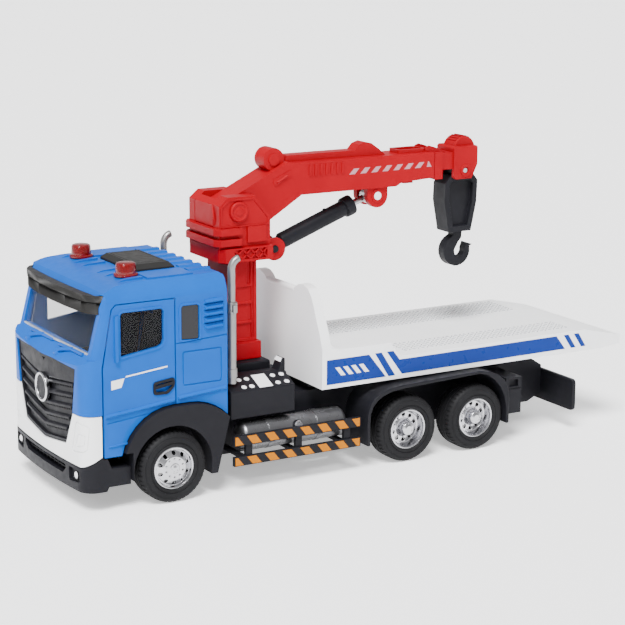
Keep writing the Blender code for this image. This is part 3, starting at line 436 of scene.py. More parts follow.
# x from the middle plane, radius, depth of the notch between two blocks there
TYRE_SECTION = [(41.5, 9.05, 0), (41.95, 9.5, 0), (42.0, 10.3, 0), (41.7, 10.5, 0), (41.7, 10.7, 0),
                (42.0, 10.95, 0), (42.0, 12.3, 0), (41.85, 12.8, 0), (41.6, 12.95, 0),
                (41.65, 13.25, 0.0), (41.4, 13.75, 0.0), (40.9, 14.35, 0.1), (40.2, 14.8, 0.3),
                (39.2, 14.95, 0.35), (38.5, 15.0, 0.3), (38.35, 14.3, 0), (37.75, 14.3, 0),
                (37.6, 15.0, 0.0), (36.1, 15.0, 0.0), (35.95, 14.3, 0), (35.45, 14.3, 0),
                (35.3, 15.0, 0.0), (33.8, 15.0, 0.0), (33.65, 14.3, 0), (33.05, 14.3, 0),
                (32.9, 15.0, 0.3), (32.1, 14.95, 0.35), (31.2, 14.8, 0.3), (30.5, 14.4, 0.2),
                (29.7, 13.5, 0.2), (29.4, 12.4, 0), (29.7, 9.05, 0)]
RIM_FRONT = [(42.55, 0.0), (42.5, 0.7), (42.3, 1.1), (42.3, 1.9), (42.05, 2.2), (42.0, 3.0),
             (41.95, 4.9), (41.7, 5.25), (40.3, 7.35), (40.25, 7.7), (40.9, 7.95), (41.35, 8.2),
             (41.55, 8.6), (41.4, 9.0), (30.4, 9.0), (30.4, 8.3), (39.2, 7.6), (39.2, 7.2),
             (40.6, 5.1), (40.7, 3.3), (31.2, 3.3), (31.2, 1.74), (38.2, 1.74), (38.2, 0.0)]
RIM_REAR = [(42.1, 0.0), (42.05, 1.4), (41.7, 1.9), (41.5, 2.7), (40.8, 3.1), (38.0, 3.5),
            (37.5, 4.0), (37.3, 4.3), (37.2, 6.9), (37.6, 7.35), (40.6, 7.95), (41.35, 8.15),
            (41.55, 8.55), (41.4, 9.0), (30.4, 9.0), (30.4, 8.3), (36.2, 7.6), (36.2, 3.3),
            (31.2, 3.3), (31.2, 1.74), (38.2, 1.74), (38.2, 0.0)]
# hole: half its width across the radius and along it; nuts: count, circle, x, radius, height
FRONT = {"section": RIM_FRONT, "hole_circle": 6.45, "hole": (0.85, 0.95), "hole_x": (37.0, 44.0),
         "nuts": ((10, 3.95, 41.95, 0.42, 0.55), (5, 1.5, 42.2, 0.16, 0.3))}
REAR = {"section": RIM_REAR, "hole_circle": 5.75, "hole": (0.95, 0.95), "hole_x": (34.0, 39.0),
        "nuts": ((10, 4.75, 37.3, 0.26, 0.5), (6, 2.35, 41.45, 0.16, 0.3))}


def tyre_shape(y, z):
    """The tyre's section carried round, with the shoulder blocks cut by notches."""
    turns = []
    for k in range(TREAD_BLOCKS):
        for part, notch in ((0.0, 0.0), (0.58, 0.0), (0.66, 1.0), (0.92, 1.0)):
            turns.append((2 * math.pi * (k + part) / TREAD_BLOCKS, notch))
    rows = []
    for turn, notch in turns:
        rows.append([(x, y + (radius - depth * notch) * math.cos(turn),
                      z + (radius - depth * notch) * math.sin(turn)) for x, radius, depth in TYRE_SECTION])
    return through(rows, closed=True)


def ring_of(count, radius, y, z, make_one):
    """The same small shape repeated round a wheel's centre."""
    out = []
    for k in range(count):
        turn = 2 * math.pi * (k + 0.5) / count
        out.append(make_one(y + radius * math.cos(turn), z + radius * math.sin(turn), turn))
    return both(*out)


def oval(cy, cz, turn, across, along):
    """A hole's oval outline, turned with the rim's radius."""
    points = []
    for k in range(16):
        a = 2 * math.pi * k / 16
        u, v = along * math.cos(a), across * math.sin(a)
        points.append((cy + u * math.cos(turn) - v * math.sin(turn),
                       cz + u * math.sin(turn) + v * math.cos(turn)))
    return points


def nut(cy, cz, x, radius, height):
    """A six-sided wheel nut on a washer."""
    washer = revolve([(x - 0.3, 0.0), (x - 0.3, radius * 1.45), (x + 0.12, radius * 1.35),
                      (x + 0.12, 0.0)], "X", (cy, cz), 16)
    head = revolve([(x, 0.0), (x, radius), (x + height * 0.8, radius), (x + height, radius * 0.7),
                    (x + height, 0.0)], "X", (cy, cz), 6)
    return both(washer, head)


def wheels():
    """Tyres, rims with their holes and nuts, and the axles."""
    for place in ("front", "mid", "rear"):
        axle = Span(f"axle_{place}")
        y, z = axle.y, axle.z
        body = f"wheels_{place}"
        kind = FRONT if place == "front" else REAR
        holes = ring_of(10, kind["hole_circle"], y, z,
                        lambda a, b, t: prism(oval(a, b, t, *kind["hole"]), "X", *kind["hole_x"]))
        nuts = both(*[ring_of(count, circle, y, z, lambda a, b, t: nut(a, b, *sizes))
                      for count, circle, *sizes in kind["nuts"]])
        for side, label in SIDES:
            whole(f"tyre_{place}_{label}", "tyre_rubber", body, 0, sided(tyre_shape(y, z), side),
                  ending="treaded")
            rim = cut(mesh_of(revolve(kind["section"], "X", (y, z), FINE)), holes)
            if side < 0:
                rim.transform(Matrix.Diagonal((-1, 1, 1, 1)))
                rim.flip_normals()
            wheel = whole(f"rim_{place}_{label}", "chrome_plating", body, 0.12, rim, ending="plated")
            piece(f"wheel_nuts_{place}_{label}", sided(nuts, side), "chrome_plating", body,
                  bevel=0).parent = wheel
        coat(f"axle_{place}", "steel")


def coat(name, look, bevel=0.2):
    """A carried-over CAD node gets its look and softened edges."""
    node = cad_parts[name]
    node.data.materials.clear()
    node.data.materials.append(MATERIALS[look])
    weld = node.modifiers.new("weld", "WELD")
    weld.merge_threshold = 0.002 * MM
    flat = node.modifiers.new("flat", "DECIMATE")
    flat.decimate_type = "DISSOLVE"
    flat.angle_limit = COPLANAR
    if bevel:
        edge = node.modifiers.new("edge", "BEVEL")
        edge.width = bevel * MM
        edge.segments = 2
        edge.limit_method = "ANGLE"
        edge.angle_limit = BEVEL_FROM
    shade = node.modifiers.new("shade", "WEIGHTED_NORMAL")
    shade.keep_sharp = True


# ---- cab ----

CAB = Span("cab_shell")
CAB_HALF = CAB.x1
NOSE_CROWN = 1.6
NOSE_R = 6.5
SIDE_WINDOW = [(-87.7, 67.8), (-79.5, 67.4), (-79.5, 81.2), (-80.3, 82.0), (-87.0, 82.0),
               (-87.7, 81.2)]
DOOR_WINDOW = [(-114.7, 63.8), (-98.0, 66.2), (-96.3, 67.0), (-95.5, 69.0), (-95.5, 81.0),
               (-96.5, 82.0), (-113.9, 82.0), (-114.7, 81.2)]
GRILLE_OUTLINE = [(0.0, 23.9), (21.9, 26.6), (27.9, 39.7), (31.0, 59.2), (12.0, 59.8), (0.0, 59.3)]
ROOF_RIBS = (-24.0, -16.0, -8.0, 0.0, 8.0, 16.0, 24.0)
FRONT_RIBS = (-29.0, -15.5, -7.5, 7.5, 15.5, 29.0)
FRONT_RIB = [(-116.0, 91.4), (-108.6, 93.45), (-100.5, 93.95), (-100.5, 92.0)]
LOUVRE_PITCH = 2.7


def nose_y(x):
    """How far forward the nose reaches at x."""
    return CAB.y0 + NOSE_CROWN * (x / (CAB_HALF - NOSE_R)) ** 2


def nose_plan(inset, rear):
    """Plan outline of the cab from its left rear round the nose to its right rear."""
    corner_x = CAB_HALF - NOSE_R
    corner_y = nose_y(corner_x) + NOSE_R
    left = [(CAB_HALF - inset, rear)]
    left += [(corner_x + u, corner_y + v) for u, v in arc(0, 0, NOSE_R - inset, 0, -90, 12)]
    left += [(corner_x * k / 12, nose_y(corner_x * k / 12) + inset) for k in range(11, 0, -1)]
    return left + [(0.0, CAB.y0 + inset)] + [(-x, y) for x, y in reversed(left)]


def nose_band(inset, thickness):
    """A curved plate that follows the nose in plan."""
    outer, inner = nose_plan(inset, -100.0), nose_plan(inset + thickness, -100.0)
    return prism(outer + list(reversed(inner)), "Z", 5.0, 75.0)


def mirrored(half):
    return half + [(-x, z) for x, z in reversed(half[1:-1])]


def strip(y0, z0, y1, z1, width, proud):
    """A raised moulding on the cab's side between two points, with sloped edges."""
    x = CAB_HALF
    half = width / 2
    run = Vector((y1 - y0, z1 - z0)).normalized()
    up = Vector((-run.y, run.x)) * half
    low = [(y0 - up.x, z0 - up.y), (y1 - up.x, z1 - up.y), (y1 + up.x, z1 + up.y),
           (y0 + up.x, z0 + up.y)]
    top = grown(low, -min(proud, half * 0.6))
    return through([[(x - 0.3, a, b) for a, b in grown(low, 0.2)], [(x + proud, a, b) for a, b in top]])


def window_rim(outline):
    """The raised frame round a window opening."""
    inner = rounded(grown(outline, 0.05), 1.0)
    return ring_prism(rounded(grown(outline, 0.95), 1.6), inner, "X", CAB_HALF - 0.5, CAB_HALF + 0.35)


def on_side(outline, sunk, proud):
    """An outline carried from a depth below the cab's side face to a height above it."""
    return prism(outline, "X", CAB_HALF - sunk, CAB_HALF + proud)


def cab_shell():
    """The cab's skin with its louvres, ribs, grooves and quarter windows."""
    shell = cad("cab_shell")
    louvres = [83.0 - LOUVRE_PITCH * k for k in range(5)]
    mouldings = [strip(-77.0, z - 0.4, -68.4, z, 1.5, 1.1) for z in louvres]
    mouldings += [strip(-89.4, 43.6, -66.9, 45.4, 1.5, 0.8), window_rim(SIDE_WINDOW)]
    shell = joined(shell, *[on_both(m) for m in mouldings])
    ribs = [prism([(x - 1.9, 93.0), (x + 1.9, 93.0), (x + 1.3, 93.95), (x - 1.3, 93.95)], "Y", -78.0, -67.6)
            for x in ROOF_RIBS]
    ribs += [prism(FRONT_RIB, "X", x - 1.2, x + 1.2) for x in FRONT_RIBS]
    ribs += [block(20.5, 32.5, -99.4, -79.0, 92.0, 93.85), block(-32.5, -20.5, -99.4, -79.0, 92.0, 93.85)]
    shell = joined(shell, *ribs)
    grooves = [ring_prism(rounded(rectangle(-87.2, -69.2, 48.4, 62.9), 1.2),
                          rounded(rectangle(-86.7, -69.7, 48.9, 62.4), 0.9), "X",
                          CAB_HALF - 0.35, CAB_HALF + 1.0),
               on_side([(-89.9, 66.3), (-66.0, 67.7), (-66.0, 68.1), (-89.9, 66.7)], 0.4, 1.0)]
    for k in range(4):
        z = 81.45 - LOUVRE_PITCH * k
        gap = [(-77.0, z - 0.25), (-68.2, z + 0.15), (-68.2, z + 0.65), (-77.0, z + 0.25)]
        grooves.append(on_side(gap, 0.7, 1.5))
    shell = cut(shell, *[on_both(g) for g in grooves])
    whole("cab_shell", "blue_body", "truck", 0.28, shell, ending="painted")
    panes = on_both(on_side(rounded(grown(SIDE_WINDOW, -0.1), 0.9), 0.75, -0.2))
    piece("quarter_windows", panes, "dark_grey_plastic", "truck", bevel=0.15, finish="dark_glass")


def cowl_details():
    """Moulded wiper arms with their spindles on the sloped cowl below the screen."""
    parts = []
    for x in (-19.0, 11.0):
        parts.append(along_line([(0.0, 0.0), (0.0, 1.7), (1.1, 1.5), (1.6, 1.1), (1.6, 0.0)],
                                (x, -130.2, 61.6), (x, -131.4, 63.4)))
        parts.append(tube([(x, -130.6, 62.9), (x + 4.0, -129.2, 64.1), (x + 9.5, -127.6, 65.0)], 0.9,
                          12))
        parts.append(tube([(x - 3.0, -128.0, 64.5), (x + 20.0, -127.6, 64.9)], 0.75, 12))
    piece("wipers", both(*parts), "blue_body", "truck", bevel=0)
    lip = prism([(-33.4, -127.1), (0.0, -128.0), (33.4, -127.1), (33.4, -125.9), (0.0, -126.9),
                 (-33.4, -125.9)], "Z", 64.9, 65.7)
    # the sill's light grey finish is partly its textured clear edge, partly painted highlight
    piece("screen_sill", lip, "clear_screen", "truck", bevel=0.2, finish="clear_edge_painted_sheen")


HANDLE_OUTER = [(-100.6, 46.2), (-94.0, 46.0), (-90.9, 48.9), (-90.9, 52.8), (-100.6, 51.6)]
HANDLE_INNER = [(-99.5, 47.4), (-94.6, 47.3), (-91.8, 49.6), (-91.8, 51.5), (-99.5, 50.6)]
HANDLE_GRIP = [(-99.8, 48.6), (-91.2, 49.9), (-91.2, 51.3), (-99.8, 50.0)]
DOOR_PRINTS = ([(-119.0, 50.8), (-114.6, 51.4), (-113.2, 55.1), (-119.0, 54.5)],
               [(-112.8, 55.3), (-94.0, 57.3), (-94.0, 57.9), (-112.4, 55.9)])


def doors():
    """Each door with its crease, handle, glass and printed stripe."""
    for side, label in SIDES:
        leaf = cad(f"door_{label}")
        crease = [strip(-121.9, 39.9, -90.8, 43.1, 1.5, 0.8), strip(-120.6, 27.2, -110.6, 27.8, 0.8, 0.4),
                  window_rim(DOOR_WINDOW)]
        leaf = joined(leaf, *[sided(c, side) for c in crease])
        recess = rounded([(-99.6, 47.4), (-94.6, 47.3), (-91.4, 49.6), (-91.4, 51.9), (-99.6, 51.2)], 1.2)
        groove = on_side([(-121.0, 36.9), (-90.0, 40.1), (-90.0, 40.4), (-121.0, 37.2)], 0.3, 1.0)
        leaf = cut(leaf, sided(on_side(recess, 0.9, 1.0), side), sided(groove, side))
        skin = whole(f"door_{label}", "blue_body", f"door_{label}", 0.28, leaf, ending="painted")
        frame_ring = ring_prism(rounded(HANDLE_OUTER, 1.4), rounded(HANDLE_INNER, 1.0), "X",
                                CAB_HALF - 0.3, CAB_HALF + 0.55)
        grip = on_side(rounded(HANDLE_GRIP, 0.5), 0.2, 0.75)
        piece(f"door_handle_{label}", sided(both(frame_ring, grip), side), "black_plastic",
              f"door_{label}", bevel=0.2).parent = skin
        pane = sided(on_side(rounded(grown(DOOR_WINDOW, 0.1), 1.2), 1.2, -0.7), side)
        piece(f"door_glass_{label}", pane, "clear_screen", f"door_{label}", bevel=0.1,
              finish="clear_dark").parent = skin
        prints = [printed(outline, CAB_HALF) for outline in DOOR_PRINTS]
        piece(f"door_print_{label}", sided(both(*prints), side), "white_plastic", f"door_{label}",
              bevel=0, finish="print_white").parent = skin


SWEPT_STEPS = 24


def swept_bar(z_at, half, high, out):
    """A bar across the grille whose upper face slopes, following the nose and a V in height."""
    rows = []
    for k in range(SWEPT_STEPS + 1):
        x = -half + 2 * half * k / SWEPT_STEPS
        y, z = nose_y(x), z_at(abs(x))
        rows.append([(x, y + 2.3, z - high / 2), (x, y + out, z - high / 2), (x, y + out, z + high * 0.1),
                     (x, y + 1.7, z + high / 2), (x, y + 2.3, z + high / 2)])
    return through(rows)


GRILLE_RISE = 3.6     # how much higher a slat is at GRILLE_REACH than in its middle
GRILLE_REACH = 27.0
SLATS = (48.6, 43.9, 39.2, 34.5, 29.9)


def grille_half(z):
    """Half the width of the grille's opening at a height."""
    rows = [(24.0, 2.0), (26.6, 21.0), (39.7, 27.0), (59.0, 30.0)]
    for (z0, w0), (z1, w1) in zip(rows, rows[1:]):
        if z <= z1:
            return w0 + (w1 - w0) * (z - z0) / (z1 - z0)
    return rows[-1][1]


def grille():
    """The grille's back, rim, upper plate, swept slats and the studs between them."""
    outline = mirrored(GRILLE_OUTLINE)
    back = kept(mesh_of(prism(outline, "Y", -145.0, -120.0)), nose_band(2.0, 0.9))
    rim = kept(mesh_of(ring_prism(outline, grown(outline, -1.3), "Y", -145.0, -120.0)),
               nose_band(0.7, 1.8))
    edge = [(0.0, 51.0), (6.0, 50.4), (28.6, 53.2), (29.6, 58.2), (12.0, 58.7), (1.8, 58.3), (0.0, 56.6)]
    plate = kept(mesh_of(prism(mirrored(edge), "Y", -145.0, -120.0)), nose_band(0.9, 1.4))
    bars = []
    for z in SLATS:
        half = grille_half(z) - 0.9
        bars.append(swept_bar(lambda x, z=z: z + GRILLE_RISE * x / GRILLE_REACH, half, 1.7, 0.75))
    studs = []
    for z in SLATS:
        for below, shift in ((1.5, 0.0), (0.5, 0.77)):
            for k in range(-16, 17):
                x = k * 1.55 + shift
                up = z - below + GRILLE_RISE * abs(x) / GRILLE_REACH
                if abs(x) < grille_half(up) - 2.0 and up > 25.2 + abs(x) * 0.1:
                    y = nose_y(x)
                    studs.append(revolve([(y + 2.2, 0.0), (y + 2.2, 0.52), (y + 1.65, 0.36), (y + 1.65, 0.0)],
                                         "Y", (x, up), 8))
    core = whole("grille", "black_plastic", "truck", 0.1, back, ending="back")
    for label, shape, soft in (("rim", rim, 0.25), ("plate", plate, 0.3), ("slats", both(*bars), 0.15),
                               ("studs", both(*studs), 0)):
        piece(f"grille_{label}", shape, "black_plastic", "truck", bevel=soft).parent = core


def badge():
    """A plain silver ring round a blank dark disc."""
    at = Span("badge")
    r = (at.x1 - at.x0) / 2
    ring = revolve([(at.y0, r - 1.25), (at.y0 - 0.35, r - 0.9), (at.y0 - 0.35, r - 0.35),
                    (at.y0, r), (at.y1, r), (at.y1, r - 1.4)], "Y", (at.x, at.z), FINE)
    disc = revolve([(at.y0 + 0.25, 0.0), (at.y0 + 0.25, r - 1.5), (at.y0 + 0.5, r - 1.1), (at.y1, r - 1.1),
                    (at.y1, 0.0)], "Y", (at.x, at.z), FINE)
    whole("badge", "silver_plastic", "truck", 0.1, ring, finish="chrome_plating", ending="ring")
    piece("badge_disc", disc, "black_plastic", "truck", bevel=0.1)


LAMP_OUTER = [(27.4, 24.6), (36.8, 26.0), (37.6, 36.6), (31.4, 38.0)]
LAMP_INNER = [(31.0, 27.4), (35.9, 28.4), (36.4, 32.8), (32.6, 33.0)]
FOG = (29.8, 14.9)
BUMPER_RECESS = [(24.9, 11.6), (33.6, 12.6), (33.0, 17.4), (24.4, 17.6)]
GROOVE_WIDTH = 0.45
# taken off the bumper's upper edge so that an open door's front corner clears it
DOOR_ROOM = [(-123.1, 22.4), (-119.0, 22.2), (-119.0, 24.0), (-123.1, 24.0)]


def groove_on_nose(outline, depth):
    """A narrow moulded line that follows an outline on the curved front."""
    half = GROOVE_WIDTH / 2
    ring = mesh_of(ring_prism(grown(outline, half), grown(outline, -half), "Y", -145.0, -115.0))
    return kept(ring, nose_band(-1.0, 1.0 + depth))


def lamps_and_panel():
    """Lamp outlines on the lower panel, and the bumper with its fog lamps and slot bars."""
    lines, recesses = [], []
    for side, _ in SIDES:
        for outline, depth in ((rounded(LAMP_OUTER, 1.6), 0.35), (rounded(LAMP_INNER, 1.0), 0.3)):
            lines.append(groove_on_nose([(side * x, z) for x, z in outline], depth))
        recess = prism([(side * x, z) for x, z in rounded(BUMPER_RECESS, 1.2)], "Y", -140.0, -120.0)
        recesses.append(kept(mesh_of(recess), nose_band(-2.0, 2.9)))
    whole("front_panel", "white_plastic", "truck", 0.3, cut(cad("front_panel"), *lines))
    bumper = cut(cad("front_bumper"), *recesses, prism(DOOR_ROOM, "X", -45.0, 45.0))
    whole("front_bumper", "black_plastic", "truck", 0.35, bumper)
    x, z = FOG
    y = nose_y(x)
    lens = revolve([(y + 1.2, 0.0), (y + 1.2, 1.55), (y + 0.3, 1.5), (y - 0.1, 1.1), (y - 0.25, 0.0)],
                   "Y", (x, z), ROUND)
    bezel = revolve([(y + 1.3, 1.5), (y + 1.3, 2.1), (y + 0.2, 2.05), (y + 0.1, 1.6)], "Y", (x, z), ROUND)
    piece("fog_lenses", on_both(lens), "white_plastic", "truck", bevel=0, finish="print_white")
    piece("fog_bezels", on_both(bezel), "black_plastic", "truck", bevel=0.1)
    bars = [block(-20.0, 20.0, -131.0, -129.2, z0, z0 + 0.6) for z0 in (14.7, 16.1)]
    bars += [block(u - 0.3, u + 0.3, -130.9, -129.2, 13.8, 17.4) for u in range(-18, 19, 4)]
    piece("bumper_slot_bars", both(*bars), "black_plastic", "truck", bevel=0.1)


def visor():
    """The sun visor with the parting line below its upper lip."""
    at = Span("sun_visor")
    plan = [(36.9, -117.2), (36.9, -120.2), (35.2, -123.4), (31.5, -125.9), (27.6, -126.9),
            (14.0, -128.1), (0.0, -128.5)]
    rim = plan + [(-x, y) for x, y in reversed(plan[:-1])]
    outer = grown(rim, 1.0)
    behind = block(-60.0, 60.0, -119.0, -100.0, 70.0, 100.0)
    line = cut(mesh_of(ring_prism(outer, grown(rim, -0.55), "Z", at.z1 - 3.1, at.z1 - 2.6)), behind)
    ledge = cut(mesh_of(ring_prism(outer, grown(rim, -0.35), "Z", at.z0 - 1.0, at.z1 - 3.1)), behind)
    shape = cut(cad("sun_visor"), line, ledge)
    whole("sun_visor", "dark_grey_plastic", "truck", 0.3, shape)


def roof():
    """The button with its groove, and the hollow beacons with a lamp inside."""
    at = Span("roof_button")
    groove = ring_prism(rectangle(-12.6, 12.6, at.y0 + 2.7, at.y1 - 2.7),
                        rectangle(-12.2, 12.2, at.y0 + 3.1, at.y1 - 3.1), "Z", at.z1 - 0.2, at.z1 + 1)
    whole("roof_button", "dark_grey_plastic", "roof_button", 0.4, cut(cad("roof_button"), groove),
          segments=3)
    for _, label in SIDES:
        at = Span(f"beacon_{label}")
        centre = (at.x, at.y)
        z0, z1 = at.z0, at.z1
        lens = revolve([(z0, 5.0), (z0 + 0.7, 5.0), (z0 + 1.0, 4.75), (z0 + 1.15, 4.25), (z1 - 0.7, 4.05),
                        (z1 - 0.2, 3.75), (z1, 3.2), (z1, 0.0), (z1 - 0.6, 0.0), (z1 - 0.7, 3.2),
                        (z0 + 1.0, 3.6), (z0, 3.6)], "Z", centre, FINE)
        bulb = revolve([(z0, 0.0), (z0, 3.0), (z0 + 0.8, 2.9), (z0 + 1.4, 1.5), (z0 + 2.6, 1.4),
                        (z0 + 3.4, 0.9), (z0 + 3.6, 0.0)], "Z", centre, ROUND)
        top = whole(f"beacon_{label}", "red_clear", "truck", 0, lens, ending="lens")
        piece(f"beacon_{label}_lamp", bulb, "red_plastic", "truck", bevel=0).parent = top


def cab_inside():
    """Seats and floor, the steering wheel and two head rests."""
    floor = whole("cab_interior", "grey_plastic", "truck", 0.5, finish="seat_black")
    centre = Vector((18.0, -116.5, 62.5))
    wheel = [(centre.x + 5.2 * math.cos(a), centre.y + 5.2 * math.sin(a) * 0.42,
              centre.z + 5.2 * math.sin(a) * 0.9) for a in (2 * math.pi * k / 40 for k in range(40))]
    rim = tube(wheel + wheel[:1], 0.5, 10)
    column = along_line([(0.0, 0.0), (0.0, 0.8), (5.0, 0.8), (5.0, 0.0)],
                        tuple(centre), (18.0, -121.0, 59.0), 16)
    spokes = block(13.4, 22.6, -116.9, -116.1, 62.0, 63.0)
    piece("steering_wheel", both(rim, column, spokes), "grey_plastic", "truck", bevel=0,
          finish="black_plastic").parent = floor
    heads = [block(x - 4.5, x + 4.5, -88.6, -85.6, 73.2, 78.4) for x in (-18.0, 18.0)]
    piece("head_rests", both(*heads), "grey_plastic", "truck", bevel=0.9,
          finish="seat_black").parent = floor


# ---- chassis and side gear ----

def bent_pipe(side, x, y):
    """The exhaust's upper pipe with its quarter turn to the rear."""
    path = [(x, y, z) for z in (78.0, 84.0, 90.0, 93.2)]
    for k in range(1, 9):
        a = math.radians(10 * k)
        path.append((x, y + 4.0 * (1 - math.cos(a)), 93.2 + 4.6 * math.sin(a)))
    pipe = tube(path, 1.55, 24)
    bore = tube([(x, y + 2.4, 97.0), (x, y + 5.5, 98.6)], 1.15, 24)
    return sided(pipe, side), sided(bore, side)


def exhausts():
    """Each stack with its collars, mounting tab and bent open end."""
    x, y = 32.0, -61.0
    z0 = Span("exhaust_left").z0
    body = [(z0, 0.0), (z0, 1.85), (z0 + 2.6, 1.9), (z0 + 2.8, 2.3), (z0 + 6.4, 2.3), (z0 + 6.6, 1.9),
            (74.8, 1.9), (75.0, 2.4), (75.9, 2.4), (76.0, 2.15), (76.3, 2.15), (76.4, 2.4), (79.4, 2.4),
            (79.6, 1.6), (79.6, 0.0)]
    for side, label in SIDES:
        stack = mesh_of(sided(revolve(body, "Z", (x, y), ROUND), side))
        pipe, bore = bent_pipe(side, x, y)
        tab = sided(block(x + 2.0, x + 3.4, y - 0.9, y + 0.9, 75.6, 78.6), side)
        shape = cut(joined(stack, pipe, tab), bore)
        whole(f"exhaust_{label}", "silver_plastic", "truck", 0.12, shape, ending="finished")


def underbody():
    """Chassis, battery cover with slots and screws, board, speaker and rear plate."""
    ends = [sided(block(36.5, 40.0, 78.7, 83.7, 25.5, 28.8), s) for s, _ in SIDES]
    lines = [sided(block(37.6, 40.0, 76.0, 86.5, 24.4, 24.9), s) for s, _ in SIDES]
    piece("chassis_moulded", cut(cad("chassis_frame"), *ends, *lines), "black_plastic", "truck",
          ("chassis_frame",), bevel=0.35)
    at = Span("battery_cover")
    slots = [block(-9.0, 9.0, y, y + 0.8, at.z0 - 1, at.z0 + 0.8) for y in
             [at.y1 - 8 - 2.2 * k for k in range(6)]]
    screws = [(u, v) for u in (-13.0, 13.0) for v in (at.y0 + 3.5, at.y1 - 3.5)]
    wells = [rod("Z", c, 1.6, at.z0 - 1.0, at.z0 + 0.9) for c in screws]
    lid = whole("battery_cover", "black_plastic", "truck", 0.25,
                cut(cad("battery_cover"), both(*slots), both(*wells)))
    heads = [revolve([(at.z0 + 0.95, 0.0), (at.z0 + 0.95, 1.3), (at.z0 + 0.5, 1.3), (at.z0 + 0.3, 0.9),
                      (at.z0 + 0.3, 0.0)], "Z", c, 20) for c in screws]
    heads = cut(mesh_of(both(*heads)),
                *[block(u - 0.9, u + 0.9, v - 0.14, v + 0.14, at.z0 - 1, at.z0 + 0.6) for u, v in screws])
    piece("cover_screws", heads, "steel", "truck", bevel=0).parent = lid
    coat("circuit_board", "circuit_green")
    coat("speaker", "grey_plastic")
    plate = Span("rear_underrun_plate")
    outline = rounded(rectangle(plate.x0, plate.x1, plate.z0, plate.z1), 2.4, 6)
    piece("rear_plate_moulded", prism(outline, "Y", plate.y0, plate.y1), "black_plastic", "truck",
          ("rear_underrun_plate",), bevel=0.5, segments=3)


STRIPES = 8
STRIPE_START = -68.2
STRIPE_PITCH = 8.55
STRIPE_WIDTH = 4.3
STRIPE_LEAN = 2.7      # how far a stripe moves rearward from its top to its foot
GUARD_BARS = ((20.5, 24.1, "upper"), (11.7, 15.1, "lower"))


def slanted_stripes(at, z0, z1, side, name):
    """Printed orange patches on one bar of the side guard."""
    patches = []
    for k in range(STRIPES):
        top = STRIPE_START + STRIPE_PITCH * k
        outline = [(top, z1), (top + STRIPE_WIDTH, z1), (top + STRIPE_WIDTH + STRIPE_LEAN, z0),
                   (top + STRIPE_LEAN, z0)]
        outline = clipped(outline, at.y0 + 0.5, at.y1 - 0.5)
        if len(outline) > 2:
            patches.append(printed(outline, at.x1))
    return piece(name, sided(both(*patches), side), "orange_stripe", "truck", bevel=0)


def side_gear():
    """Side guards with their stripes, tanks, boxes and mudguards."""
    at = Span("side_guard_left")
    for side, label in SIDES:
        bars = whole(f"side_guard_{label}", "orange_stripe", "truck", 0.3, finish="black_plastic")
        for z0, z1, word in GUARD_BARS:
            slanted_stripes(at, z0, z1, side, f"stripes_{word}_{label}").parent = bars
        tank_parts(side, label)
        box_parts(side, label)
        whole(f"rear_fender_{label}", "black_plastic", "truck", 0.4)
        whole(f"front_fender_{label}", "black_plastic", "truck", 0.6, segments=3)


def tank_parts(side, label):
    """Plated tank with domed ends, two strap bands and a filler cap."""
    at = Span("fuel_tank_left")
    x, z, r = at.x1 - 6.4, at.z0 + 6.4, 6.4
    profile = [(at.y0, 0.0), (at.y0, 4.6), (at.y0 + 0.5, 5.5), (at.y0 + 1.4, 6.2), (at.y0 + 2.4, r)]
    for y in (-45.0, -21.4):
        profile += [(y - 1.3, r), (y - 1.2, r + 0.35), (y + 1.2, r + 0.35), (y + 1.3, r)]
    profile += [(at.y1 - 2.4, r), (at.y1 - 1.4, 6.2), (at.y1 - 0.5, 5.5), (at.y1, 4.6), (at.y1, 0.0)]
    shell = revolve(profile, "Y", (x, z), FINE)
    tank = whole(f"fuel_tank_{label}", "chrome_plating", "truck", 0.1, sided(shell, side),
                 finish="tank_silver", ending="plated")
    lean = math.radians(24)
    foot = (x + 5.6 * math.cos(lean), -32.4, z + 5.6 * math.sin(lean))
    tip = (x + 8.2 * math.cos(lean), -32.4, z + 8.2 * math.sin(lean))
    seat = along_line([(0.0, 0.0), (0.0, 2.5), (1.3, 2.4), (1.3, 0.0)], foot, tip, 24)
    cap = along_line([(0.0, 0.0), (0.0, 1.9), (2.2, 1.9), (2.6, 1.5), (2.6, 0.9), (2.3, 0.7), (2.3, 0.0)],
                     foot, tip, 24)
    piece(f"tank_cap_seat_{label}", sided(seat, side), "black_plastic", "truck", bevel=0.1).parent = tank
    piece(f"tank_cap_{label}", sided(cap, side), "chrome_plating", "truck", bevel=0).parent = tank


BOX_SLOPE = ((36.0, 41.5), (26.0, 45.7))
BOX_TAB = [(21.9, -34.7, 49.4), (26.9, -34.7, 49.4), (26.9, -33.6, 50.95), (21.9, -33.6, 50.95)]
# places of the prints along the box, as shares of its length
DOT_ROWS = (0.2435, 0.364, 0.773, 0.912)
BLANK_FROM, BLANK_TO = 0.461, 0.669


def on_slope(x_t, y, lift):
    """A point on the side box's sloped lid: x_t runs from 0 at its outer edge to 1 at its inner."""
    (x0, z0), (x1, z1) = BOX_SLOPE
    run = math.hypot(x1 - x0, z1 - z0)
    nx, nz = (z1 - z0) / run, -(x1 - x0) / run
    return (x0 + (x1 - x0) * x_t + nx * lift, y, z0 + (z1 - z0) * x_t + nz * lift)


